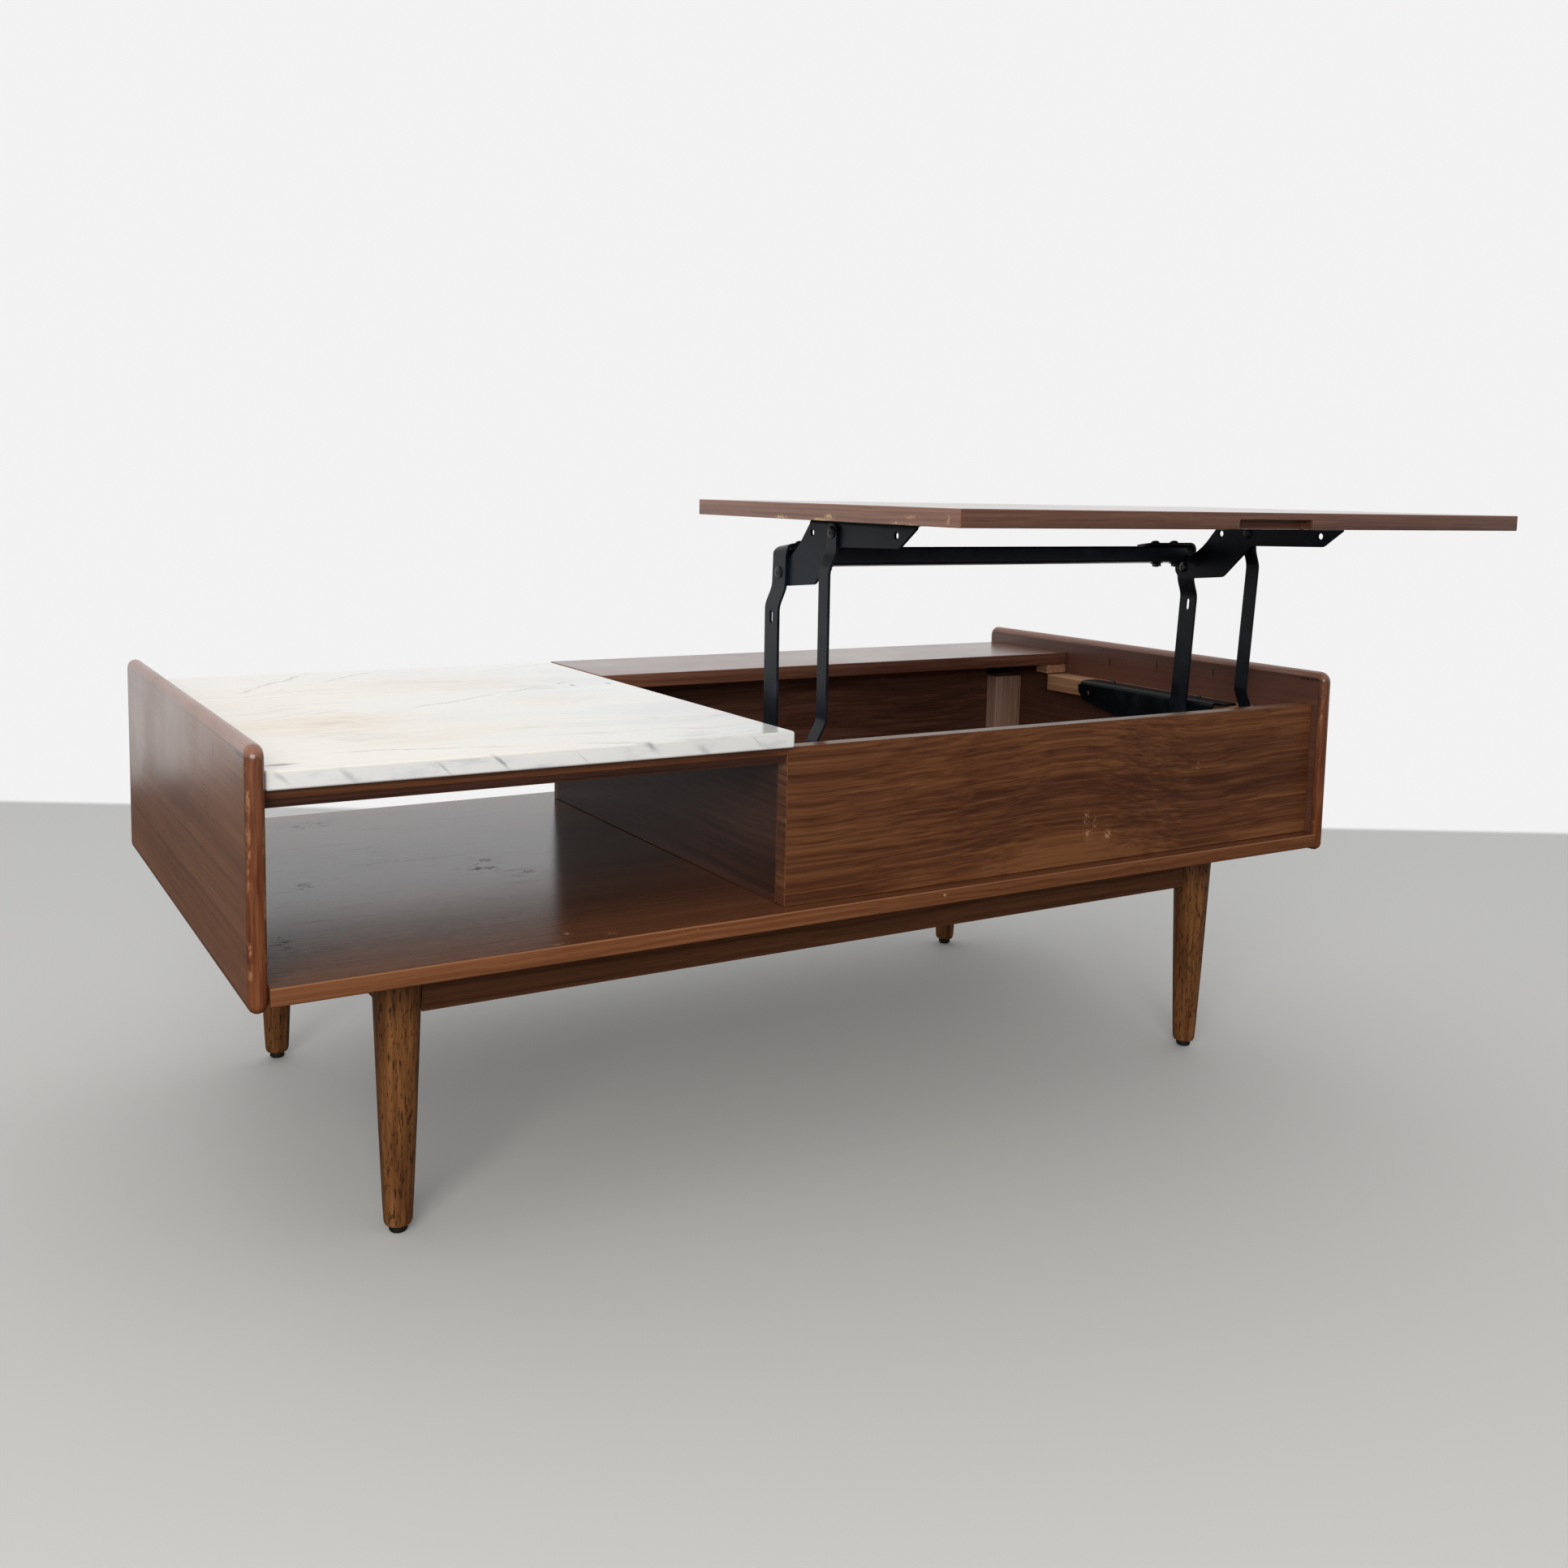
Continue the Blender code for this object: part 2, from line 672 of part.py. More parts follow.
def make_rear_linkage():
    fold_at = TAB_UNDER - TAB_BEND_RADIUS
    # Lengths on the flat sheet: where the tab's flat part starts, and the X it then has
    straight = fold_at + bend_length(ARM_THICK, TAB_BEND_RADIUS)
    straight_x = ARM_TOP_X + TAB_BEND_RADIUS + ARM_THICK / 2
    tip = straight + TAB_TIP_X - straight_x
    half = REAR_ARM_WIDTH / 2
    square_end = rounded([(-half, 0, 0), (half, 0, 0), (half, tip, 0.007), (-half, tip, 0.007)])
    outline = arc(0, 0, half, 180, 360, 8) + square_end[2:]
    slot = [
        Vector((p.x, p.y + SLOT_AT - SLOT_LONG / 2 + SLOT_WIDTH / 2))
        for p in capsule(SLOT_LONG - SLOT_WIDTH, SLOT_WIDTH / 2, 4)
    ]
    holes = [
        circle(0, 0, PIN_RADIUS + PIN_CLEARANCE),
        circle(0, ARM_LENGTH, PIN_RADIUS + PIN_CLEARANCE),
        slot,
    ]
    for x in BOLT_XS:
        holes.append(circle(0, straight + x - straight_x, BOLT_RADIUS + GAP, 12))
    name = "rear_arm"
    shape = flat_sheet(name, [outline] + holes, ARM_THICK)
    slope(shape, STRAIGHT_FROM, REAR_JOGGLE[0], ARM_HIGH_X - ARM_LOW_X)
    joggle(shape, *REAR_JOGGLE, ARM_TOP_X - ARM_HIGH_X)
    fold(shape, fold_at, ARM_THICK, 1, ARM_TOP_X - ARM_LOW_X, TAB_BEND_RADIUS)
    tilt_tab(shape, fold_at, TAB_UNDER)
    frame = side_frame(ARM_LOW_X, *REAR_BASE, LEAN)
    bmesh.ops.transform(shape, matrix=frame, verts=shape.verts)
    for side, mesh in sides(shape, name).items():
        new_part(name + "_" + side, mesh, "black_steel", REAR)

    name = "cross_bar"
    # From here b is measured from the underside of the tabs, and leans back with them
    tab_point = frame @ Vector((0, TAB_UNDER, 0))
    bar_top = -GAP
    half = BAR_DEEP / 2
    walls = []
    for inset, corner in ((0, BAR_CORNER), (BAR_WALL, BAR_CORNER - BAR_WALL)):
        a, low, high = half - inset, bar_top - BAR_HIGH + inset, bar_top - inset
        walls.append(rounded([(-a, low, corner), (a, low, corner), (a, high, corner), (-a, high, corner)]))
    length = 2 * (BOX_MIDDLE - BAR_LEFT)
    shape = flat_sheet(name, walls, length)
    bar_frame = side_frame(BOX_MIDDLE, tab_point.y, tab_point.z, LEAN + TAB_TILT)
    bmesh.ops.transform(shape, matrix=bar_frame, verts=shape.verts)
    bar = new_part(name, mesh_from(shape, name), "black_steel", REAR)

    tab_top = ARM_THICK
    nut_top = bar_top - BAR_HIGH - GAP
    head, high = BOLT_HEAD_RADIUS, BOLT_HEAD_HIGH
    bolt = [
        (0, tab_top + GAP + high),
        (head * 0.55, tab_top + GAP + high * 0.9),
        (head, tab_top + GAP + high * 0.3),
        (head, tab_top + GAP),
        (BOLT_RADIUS, tab_top + GAP),
        (BOLT_RADIUS, nut_top),
        (NUT_RADIUS, nut_top),
        (NUT_RADIUS, nut_top - NUT_HIGH),
        (0, nut_top - NUT_HIGH),
    ]
    hole = [(0, tab_top), (BOLT_RADIUS + GAP, tab_top), (BOLT_RADIUS + GAP, nut_top - 0.002), (0, nut_top - 0.002)]
    tilt = (LEAN + TAB_TILT, 0, 0)
    for side in ("left", "right"):
        for place, x in zip(("outer", "inner"), BOLT_XS):
            at = (side_x(x, side), tab_point.y, tab_point.z)
            label = side + "_" + place
            make_turned("bar_bolt_" + label, "black_steel", REAR, bolt, at, tilt)
            mesh, steps = turned("bolt_hole_" + label, hole, 12)
            cut(bar, add_screw(make_cutter("bolt_hole_" + label, mesh, at, tilt, REAR), steps))


def make_front_arms():
    name = "front_arm"
    radius = FRONT_ARM_WIDTH / 2
    outlines = [
        capsule(ARM_LENGTH, radius, 8),
        circle(0, 0, PIN_RADIUS + PIN_CLEARANCE),
        circle(0, ARM_LENGTH, PIN_RADIUS + PIN_CLEARANCE),
    ]
    shape = flat_sheet(name, outlines, ARM_THICK)
    joggle(shape, *FRONT_LOW_JOGGLE, ARM_LOW_X - ARM_OUTER_X)
    slope(shape, STRAIGHT_FROM, FRONT_TOP_JOGGLE[0], ARM_HIGH_X - ARM_LOW_X)
    joggle(shape, *FRONT_TOP_JOGGLE, ARM_TOP_X - ARM_HIGH_X)
    frame = side_frame(ARM_OUTER_X, *FRONT_BASE, LEAN)
    bmesh.ops.transform(shape, matrix=frame, verts=shape.verts)
    for side, mesh in sides(shape, name).items():
        new_part(name + "_" + side, mesh, "black_steel", FRONT[side])


def make_base_plates():
    name = "base_plate"
    fold_at = FLANGE_UNDER - BEND_RADIUS
    flat_at = fold_at + bend_length(WEB_THICK)
    end = flat_at + FLANGE_WIDTH - BEND_RADIUS - WEB_THICK
    corners = [
        (0.0520, 0.3220, 0.008),
        (0.2000, 0.3220, 0.014),
        (0.2800, 0.3620, 0.020),
        (0.3420, 0.3740, 0.012),
        (0.3540, 0.3860, 0.006),
        (0.3540, fold_at, 0),
        (FLANGE_BACK, fold_at, 0),
        (FLANGE_BACK, end, 0.005),
        (FLANGE_FRONT, end, 0.005),
        (FLANGE_FRONT, flat_at + 0.0005, 0.002),
        (NOTCH_BACK, flat_at + 0.0005, 0),
        (NOTCH_BACK, NOTCH_LOW, 0.004),
        (NOTCH_FRONT, NOTCH_LOW, 0.004),
        (NOTCH_FRONT, 0.3955, 0.006),
        (0.0580, 0.3955, 0.008),
    ]
    holes = [
        circle(*REAR_BASE, PIN_RADIUS + PIN_CLEARANCE),
        circle(*FRONT_BASE, PIN_RADIUS + PIN_CLEARANCE),
        circle(0.2300, 0.3650, 0.004, 12),
        circle(0.3350, 0.3860, 0.003, 12),
    ]
    flat_b = flat_at + (WEB_X - FLANGE_SCREW_X) - BEND_RADIUS - WEB_THICK / 2
    for y in FLANGE_SCREW_YS:
        holes.append(circle(y, flat_b, 0.0024, 12))
    shape = flat_sheet(name, [rounded(corners)] + holes, WEB_THICK)
    fold(shape, fold_at, WEB_THICK, -1)
    bmesh.ops.transform(shape, matrix=side_frame(WEB_X), verts=shape.verts)
    for side, mesh in sides(shape, name).items():
        new_part(name + "_" + side, mesh, "black_steel", TABLE)

    plate_top = FLANGE_UNDER + WEB_THICK
    screw = [
        (0, plate_top + GAP + 0.0022),
        (0.0026, plate_top + GAP + 0.0020),
        (0.0044, plate_top + GAP + 0.0008),
        (0.0044, plate_top + GAP),
        (0.0020, plate_top + GAP),
        (0.0020, FLANGE_UNDER + 0.0001),
        (0, FLANGE_UNDER + 0.0001),
    ]
    for side in ("left", "right"):
        for place, y in zip(("front", "rear"), FLANGE_SCREW_YS):
            at = (side_x(FLANGE_SCREW_X, side), y, 0)
            make_turned("plate_screw_" + side + "_" + place, "black_steel", TABLE, screw, at, steps=12)


def make_pins():
    """Pins lie along X. Each is fixed in its plate, and the arm turns on it."""
    low_web, high_web = WEB_X - WEB_THICK / 2, WEB_X + WEB_THICK / 2
    half_arm = ARM_THICK / 2
    pins = {
        "rear_base": (low_web, ARM_LOW_X + half_arm, REAR_BASE, TABLE),
        "front_base": (ARM_OUTER_X - half_arm, high_web, FRONT_BASE, TABLE),
        "rear_top": (ARM_TOP_X - half_arm, BRACKET_X + BRACKET_THICK / 2, REAR_TOP, LIFT),
        "front_top": (ARM_TOP_X - half_arm, BRACKET_X + BRACKET_THICK / 2, FRONT_TOP, LIFT),
    }
    for name, (inner, outer, (y, z), body) in pins.items():
        grip = (outer - inner) / 2 + GAP
        for side in ("left", "right"):
            at = (side_x((inner + outer) / 2, side), y, z)
            label = name + "_pin_" + side
            make_turned(label, "black_steel", body, pin_profile(grip), at, (0, math.pi / 2, 0))


def base_of(top):
    """Lower pivot of an arm whose upper pivot stands at top."""
    return top[0] + ARM_LENGTH * math.sin(LEAN), top[1] - ARM_LENGTH * math.cos(LEAN)


REAR_BASE = base_of(REAR_TOP)
FRONT_BASE = base_of(FRONT_TOP)
MIDDLE_Y = (LIFT_FRONT + DEPTH) / 2
TABLE = make_body("table", (0, 0, 0))
TABLE[0].location = (-LENGTH / 2, -MIDDLE_Y, 0)
REAR = make_body("rear_linkage", (0, *REAR_BASE), TABLE)
LIFT = make_body("lift_top", (0, *REAR_TOP), REAR)
FRONT = {side: make_body("front_arm_" + side + "_body", (0, *FRONT_BASE), TABLE) for side in ("left", "right")}

make_case()
make_box_supports()
make_legs()
make_lift_top()
make_top_brackets()
make_rear_linkage()
make_front_arms()
make_base_plates()
make_pins()
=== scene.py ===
"""Looks of the lift top coffee table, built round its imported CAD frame. Metres, +Z up, front -Y."""

import json
import math

import bmesh
import bpy
from mathutils import Matrix, Vector


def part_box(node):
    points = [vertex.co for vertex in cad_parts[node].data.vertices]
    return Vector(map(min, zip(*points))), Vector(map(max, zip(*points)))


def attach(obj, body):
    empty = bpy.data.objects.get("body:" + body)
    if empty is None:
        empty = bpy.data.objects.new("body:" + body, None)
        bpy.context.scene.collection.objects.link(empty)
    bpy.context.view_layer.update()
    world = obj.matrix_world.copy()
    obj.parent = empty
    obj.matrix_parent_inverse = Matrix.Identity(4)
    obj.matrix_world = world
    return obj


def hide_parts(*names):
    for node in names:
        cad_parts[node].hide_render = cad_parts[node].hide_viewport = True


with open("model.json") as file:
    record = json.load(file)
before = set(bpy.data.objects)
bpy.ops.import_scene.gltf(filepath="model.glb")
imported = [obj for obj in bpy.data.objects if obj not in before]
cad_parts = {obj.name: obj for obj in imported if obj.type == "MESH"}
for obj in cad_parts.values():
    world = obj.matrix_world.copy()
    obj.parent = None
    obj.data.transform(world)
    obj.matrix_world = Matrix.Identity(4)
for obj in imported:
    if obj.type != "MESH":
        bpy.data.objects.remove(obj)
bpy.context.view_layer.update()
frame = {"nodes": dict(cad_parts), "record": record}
NODES = frame["nodes"]
BODY_OF = {node: body for body, nodes in frame["record"]["behaviour"]["bodies"].items() for node in nodes}
SLOT_OF = {entry["node"]: entry["material_slot"] for entry in frame["record"]["subparts"]}


# ---------------------------------------------------------------- material graphs


def srgb(r, g, b):
    """Linear colour of an 8-bit sRGB one."""
    parts = [c / 255 for c in (r, g, b)]
    return tuple(c / 12.92 if c <= 0.04045 else ((c + 0.055) / 1.055) ** 2.4 for c in parts) + (1.0,)


class Paint:
    """A Principled material and short calls that add nodes to it. A value may be a number or a socket."""

    def __init__(self, name, **shader):
        self.material = bpy.data.materials.new(name)
        self.material.use_nodes = True
        tree = self.material.node_tree
        self.nodes, self.links = tree.nodes, tree.links
        self.shader = self.nodes["Principled BSDF"]
        for socket, value in shader.items():
            self.shader.inputs[socket.replace("_", " ")].default_value = value
        self.coords = self.nodes.new("ShaderNodeTexCoord")
        self.object = self.coords.outputs["Object"]

    def put(self, socket, value):
        if isinstance(value, bpy.types.NodeSocket):
            self.links.new(value, socket)
        else:
            socket.default_value = value

    def add(self, kind, sockets, **settings):
        node = self.nodes.new("ShaderNode" + kind)
        for name, value in settings.items():
            setattr(node, name, value)
        for key, value in sockets.items():
            self.put(node.inputs[key], value)
        return node

    def math(self, operation, a, b=0.0, c=0.0, clamp=False):
        node = self.add("Math", {0: a, 1: b, 2: c}, operation=operation)
        node.use_clamp = clamp
        return node.outputs[0]

    def vector(self, operation, a, b):
        return self.add("VectorMath", {0: a, 1: b}, operation=operation).outputs[0]

    def split(self, vector):
        return self.add("SeparateXYZ", {0: vector}).outputs

    def join(self, x, y, z):
        return self.add("CombineXYZ", {0: x, 1: y, 2: z}).outputs[0]

    def place(self, vector, scale=(1, 1, 1), shift=(0, 0, 0), turn=(0, 0, 0)):
        sockets = {"Vector": vector, "Location": shift, "Rotation": turn, "Scale": scale}
        return self.add("Mapping", sockets).outputs[0]

    def noise(self, vector, scale=1.0, detail=3.0, rough=0.5):
        sockets = {"Vector": vector, "Scale": scale, "Detail": detail, "Roughness": rough}
        return self.add("TexNoise", sockets).outputs[0]

    def ramp(self, value, *stops):
        node = self.add("ValToRGB", {0: value})
        elements = node.color_ramp.elements
        while len(elements) < len(stops):
            elements.new(0.5)
        for element, (position, colour) in zip(elements, stops):
            element.position = position
            element.color = colour if isinstance(colour, tuple) else (colour, colour, colour, 1)
        return node.outputs[0]

    def step(self, value, low, high):
        """0 below low and 1 above high, or the other way round where low > high."""
        ends = (0.0, 1.0) if low < high else (1.0, 0.0)
        sockets = {"Value": value, "From Min": min(low, high), "From Max": max(low, high)}
        sockets.update({"To Min": ends[0], "To Max": ends[1]})
        return self.add("MapRange", sockets, interpolation_type="SMOOTHSTEP").outputs[0]

    def mix(self, share, a, b, blend="MIX"):
        node = self.add("Mix", {}, data_type="RGBA", blend_type=blend)
        for index, value in ((0, share), (6, a), (7, b)):
            self.put(node.inputs[index], value)
        return node.outputs[2]

    def scaled(self, share, low, high):
        """low where share is 0 and high where it is 1."""
        return self.math("MULTIPLY_ADD", share, high - low, low)

    def finish(self, colour, roughness=None, height=None, strength=0.3, distance=0.0005):
        self.put(self.shader.inputs["Base Color"], colour)
        if roughness is not None:
            self.put(self.shader.inputs["Roughness"], roughness)
        if height is not None:
            bump = self.add("Bump", {"Strength": strength, "Distance": distance, "Height": height})
            self.put(self.shader.inputs["Normal"], bump.outputs[0])
        return self.material


def edge_distance(paint, low, high):
    """Distance from a surface point to the nearest other face of the box low..high."""
    axes = paint.split(paint.object)
    near = []
    for axis in range(3):
        below = paint.math("SUBTRACT", axes[axis], low[axis])
        above = paint.math("SUBTRACT", high[axis], axes[axis])
        near.append(paint.math("MINIMUM", below, above))
    lesser = paint.math("MINIMUM", near[0], near[1])
    greater = paint.math("MAXIMUM", near[0], near[1])
    return paint.math("MAXIMUM", lesser, paint.math("MINIMUM", greater, near[2]))


def bell(paint, value, centre, width):
    """1 where value is at centre, falling to 0 about width away."""
    off = paint.math("DIVIDE", paint.math("SUBTRACT", value, centre), width)
    return paint.math("EXPONENT", paint.math("MULTIPLY", paint.math("MULTIPLY", off, off), -1.0))


def spot(paint, centre, radii):
    """1 at a place in the frame and 0 beyond about the given radii."""
    axes = paint.split(paint.object)
    mask = 1.0
    for axis in range(3):
        mask = paint.math("MULTIPLY", bell(paint, axes[axis], centre[axis], radii[axis]), mask)
    return mask


def figure(paint, along, seed, wave=0.010, broad=26.0, lines=230.0, hump=None):
    """Wood figure as sockets: long lines, fine fibre and slow tone, in 0..1. along is the grain's axis."""
    slow = paint.noise(paint.place(paint.object, (3.1,) * 3, (seed, 0, 0)), 1.0, 2.0, 0.5)
    sway = paint.noise(paint.place(paint.object, (9.0,) * 3, (0, seed, 0)), 1.0, 2.0, 0.5)
    push = paint.math("MULTIPLY_ADD", slow, wave * 2, paint.math("MULTIPLY", sway, wave * 0.5))
    if hump is not None:
        push = paint.math("ADD", push, hump(paint))
    slide = [0.0 if axis == along else push for axis in range(3)]
    bent = paint.vector("ADD", paint.object, paint.join(*slide))

    def stretched(across, length):
        scale = [across] * 3
        scale[along] = length
        return paint.place(bent, scale, (seed, seed * 0.7, seed * 1.3))

    bands = paint.noise(stretched(broad, 0.7), 1.0, 2.0, 0.5)
    lanes = paint.noise(stretched(lines, 0.9), 1.0, 3.0, 0.6)
    hairs = paint.noise(stretched(lines * 3.2, 6.0), 1.0, 2.0, 0.55)
    both = paint.math("MULTIPLY_ADD", bands, 0.34, paint.math("MULTIPLY", lanes, 0.42))
    both = paint.math("MULTIPLY_ADD", hairs, 0.24, both)
    fibre = paint.noise(stretched(1300.0, 34.0), 1.0, 2.0, 0.6)
    return both, fibre, slow


def stained(paint, along, tones, seed, contrast=(0.40, 0.50, 0.60), pore=0.35, **look):
    """Colour and fibre sockets of stained wood in three tones."""
    both, fibre, slow = figure(paint, along, seed, **look)
    dark, middle, light = [srgb(*tone) for tone in tones]
    colour = paint.ramp(both, (contrast[0], dark), (contrast[1], middle), (contrast[2], light))
    shade = paint.ramp(slow, (0.35, 1.08), (0.65, 0.88))
    colour = paint.mix(1.0, colour, shade, "MULTIPLY")
    pores = paint.step(fibre, 0.61, 0.70)
    colour = paint.mix(paint.math("MULTIPLY", pores, pore), colour, srgb(*[c * 0.42 for c in tones[0]]))
    return colour, fibre


def chipped(paint, colour, near, tone, reach=0.0018, start=0.60, share=0.85):
    """Adds pale chips where near, the distance to an edge, is small."""
    flakes = paint.noise(paint.place(paint.object, (150.0,) * 3), 1.0, 3.0, 0.7)
    close = paint.step(near, reach, reach * 0.35)
    mask = paint.math("MULTIPLY", close, paint.step(flakes, start, start + 0.05))
    return paint.mix(paint.math("MULTIPLY", mask, share), colour, srgb(*tone))


def marked(paint, colour, marks, flake, start):
    """Adds (place, radii, tone, share) marks, each broken up by a noise of the given scale."""
    flakes = paint.noise(paint.place(paint.object, flake), 1.0, 3.0, 0.7)
    torn = paint.step(flakes, start, start + 0.06)
    for place, radii, tone, share in marks:
        patch = paint.math("MULTIPLY", spot(paint, place, radii), torn)
        mask = paint.math("MULTIPLY", patch, share, clamp=True)
        colour = paint.mix(mask, colour, srgb(*tone))
    return colour


# Dark, middle and light tone of each wood, as 8-bit sRGB.
WALNUT = ((74, 42, 26), (99, 60, 37), (120, 78, 48))
WALNUT_FRONT = ((74, 41, 25), (103, 62, 38), (130, 84, 51))
WALNUT_LIFT = ((86, 51, 38), (108, 69, 52), (124, 84, 66))
# Left end panel tones, lighter than the right as painted light from the left.
WALNUT_END_LEFT_LIT = ((104, 66, 48), (127, 85, 62), (147, 103, 77))
WALNUT_END_RIGHT = ((78, 49, 40), (98, 64, 52), (112, 77, 62))
WALNUT_SHELF = ((60, 34, 23), (84, 50, 33), (102, 64, 43))
# Lighter shelf tone for its front face and front part: painted light where the lamp falls in past the marble.
WALNUT_SHELF_LIT_FRONT = ((98, 58, 35), (118, 73, 46), (136, 88, 58))
WALNUT_DIVIDER = ((52, 32, 26), (68, 43, 35), (82, 54, 44))
WALNUT_BACK = ((80, 50, 40), (108, 72, 57), (126, 90, 73))
LIFT_BAND = ((98, 59, 44), (122, 79, 60), (142, 98, 78))
PINE = ((140, 96, 70), (170, 124, 92), (194, 150, 114))
PINE_POST = ((158, 118, 100), (186, 146, 126), (208, 170, 150))
RAIL = ((72, 44, 30), (92, 58, 39), (108, 70, 48))
# Darker walnut for the board under the marble: painted shade.
WALNUT_SHADED = ((42, 24, 18), (60, 35, 26), (74, 46, 35))
LIPPING = ((92, 50, 31), (114, 66, 42), (134, 84, 56))
CHIP = (206, 172, 126)


def flat_wood(name, node, along, tones, seed, rough=0.30, level=0.30, band=LIPPING, chips=0.72, **look):
    """Veneered board: figure, worn arrises that also carry a painted highlight, and edge bands on its ends
    with the grain along them.
    """
    paint = Paint(name, Specular_IOR_Level=level)
    colour, fibre = stained(paint, along, tones, seed, **look)
    low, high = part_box(node)
    axes = paint.split(paint.object)
    if along == 0:
        from_left = paint.math("SUBTRACT", axes[0], low[0])
        from_right = paint.math("SUBTRACT", high[0], axes[0])
        ends = paint.math("MINIMUM", from_left, from_right)
        edging, _ = stained(paint, 1, band, seed + 3.0)
        colour = paint.mix(paint.step(ends, 0.0009, 0.0007), colour, edging)
    near = edge_distance(paint, low, high)
    rub = paint.noise(paint.place(paint.object, (40.0,) * 3), 1.0, 3.0, 0.65)
    # Lighter arrises: rubbed wear together with a painted highlight along the edges.
    wear_and_highlight = paint.math("MULTIPLY", paint.step(near, 0.0014, 0.0004), paint.math("MULTIPLY", rub, 0.5))
    colour = paint.mix(wear_and_highlight, colour, srgb(*band[2]))
    colour = chipped(paint, colour, near, CHIP, start=chips)
    return paint, colour, fibre, scuffed(paint, rough)


def scuffed(paint, rough):
    """Roughness with faint wipe marks."""
    wipe = paint.noise(paint.place(paint.object, (5.0,) * 3), 1.0, 4.0, 0.6)
    return paint.ramp(wipe, (0.3, rough * 0.85), (0.7, rough * 1.25))


def board(name, node, along, tones, seed, **look):
    paint, colour, fibre, roughness = flat_wood(name, node, along, tones, seed, **look)
    return paint.finish(colour, roughness, fibre, 0.10, 0.0003)


def box_front_material():
    """Front of the storage box: gently arching figure and a few knocks."""

    def hump(paint):
        axes = paint.split(paint.object)
        rise = paint.math("MULTIPLY", bell(paint, axes[0], 0.235, 0.17), -0.012)
        return paint.math("ADD", rise, paint.math("MULTIPLY", bell(paint, axes[0], 0.40, 0.09), 0.005))

    node = "box_front"
    look = {"hump": hump, "wave": 0.008, "rough": 0.32, "level": 0.25, "band": WALNUT_FRONT}
    paint, colour, fibre, roughness = flat_wood("walnut_" + node, node, 0, WALNUT_FRONT, 2.0, **look)
    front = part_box(node)[0][1]
    knocks = (
        ((0.2500, front, 0.3080), (0.0030, 0.01, 0.0060), (170, 128, 90), 1.6),
        ((0.2530, front, 0.2900), (0.0040, 0.01, 0.0050), (176, 130, 86), 1.6),
        ((0.2620, front, 0.3010), (0.0025, 0.01, 0.0060), (160, 120, 84), 1.4),
        ((0.2810, front, 0.2880), (0.0030, 0.01, 0.0045), (196, 152, 104), 1.8),
        ((0.4120, front, 0.3520), (0.0020, 0.01, 0.0030), (186, 140, 104), 1.4),
    )
    colour = marked(paint, colour, knocks, (420, 420, 260), 0.50)
    return paint.finish(colour, roughness, fibre, 0.10, 0.0003)


def shelf_material():
    """Bottom board, with scratches and chips where things have stood, and painted light on its front part."""
    node = "bottom_board"
    look = {"rough": 0.15, "wave": 0.006}
    paint, colour, fibre, roughness = flat_wood("walnut_" + node, node, 0, WALNUT_SHELF, 4.2, **look)
    low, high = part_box(node)
    axes = paint.split(paint.object)
    front, _ = stained(paint, 0, WALNUT_SHELF_LIT_FRONT, 6.0)
    colour = paint.mix(paint.step(axes[1], low[1] + 0.0010, low[1] + 0.0007), colour, front)
    # Painted light: the shelf top turns to the lighter tone over its front 24 cm.
    warm = paint.math("MULTIPLY", paint.step(axes[1], low[1] + 0.24, low[1] + 0.02), 0.5)
    colour = paint.mix(warm, colour, front)
    top = high[2]
    scratches = (
        ((-0.323, 0.082, top), (0.020, 0.012, 0.01), (22, 14, 12), 1.3),
        ((-0.289, 0.047, top), (0.016, 0.010, 0.01), (22, 14, 12), 1.2),
        ((-0.318, 0.109, top), (0.016, 0.012, 0.01), (22, 14, 12), 1.2),
        ((-0.432, 0.348, top), (0.020, 0.014, 0.01), (24, 14, 12), 1.4),
        ((-0.520, 0.300, top), (0.020, 0.014, 0.01), (24, 14, 12), 1.4),
        ((-0.561, -0.080, top), (0.010, 0.020, 0.01), (22, 14, 12), 1.3),
        ((-0.500, 0.090, top), (0.010, 0.014, 0.01), (26, 16, 14), 1.3),
    )
    colour = marked(paint, colour, scratches, (60, 230, 60), 0.54)
    scuff = paint.step(paint.noise(paint.place(paint.object, (60, 230, 60)), 1.0, 3.0, 0.7), 0.54, 0.60)
    for place, radii, _, _ in scratches:
        dulled = paint.math("MULTIPLY", spot(paint, place, radii), scuff)
        roughness = paint.math("MULTIPLY_ADD", dulled, 0.45, roughness)
    rubbed = paint.noise(paint.place(paint.object, (10.0, 120.0, 10.0), turn=(0, 0, 0.5)), 1.0, 4.0, 0.7)
    roughness = paint.math("MULTIPLY_ADD", paint.step(rubbed, 0.58, 0.72), 0.10, roughness)
    sheen = paint.ramp(paint.step(axes[1], low[1], low[1] + 0.30), (0.0, 0.18), (1.0, 0.40))
    paint.put(paint.shader.inputs["Specular IOR Level"], sheen)
    knocks = (
        ((-0.3345, -0.1608, top), (0.0035, 0.0040, 0.01), (190, 150, 112), 1.3),
        ((-0.3000, -0.1782, top), (0.0045, 0.0030, 0.01), (190, 150, 112), 1.3),
        ((-0.3526, -0.1856, top), (0.0050, 0.0030, 0.01), (190, 150, 112), 1.3),
        ((0.0500, -0.1925, 0.2540), (0.0030, 0.01, 0.0020), (186, 146, 108), 1.4),
        ((-0.2300, -0.1925, 0.2570), (0.0060, 0.01, 0.0012), (170, 122, 84), 1.2),
    )
    colour = marked(paint, colour, knocks, (230, 330, 300), 0.52)
    edge = paint.math("ABSOLUTE", paint.math("SUBTRACT", axes[2], top))
    at_front = paint.step(axes[1], low[1] + 0.0018, low[1] + 0.0010)
    line = paint.math("MULTIPLY", paint.step(edge, 0.0016, 0.0008), at_front)
    colour = paint.mix(paint.math("MULTIPLY", line, 0.45), colour, srgb(172, 120, 84))
    return paint.finish(colour, roughness, fibre, 0.24, 0.0003)


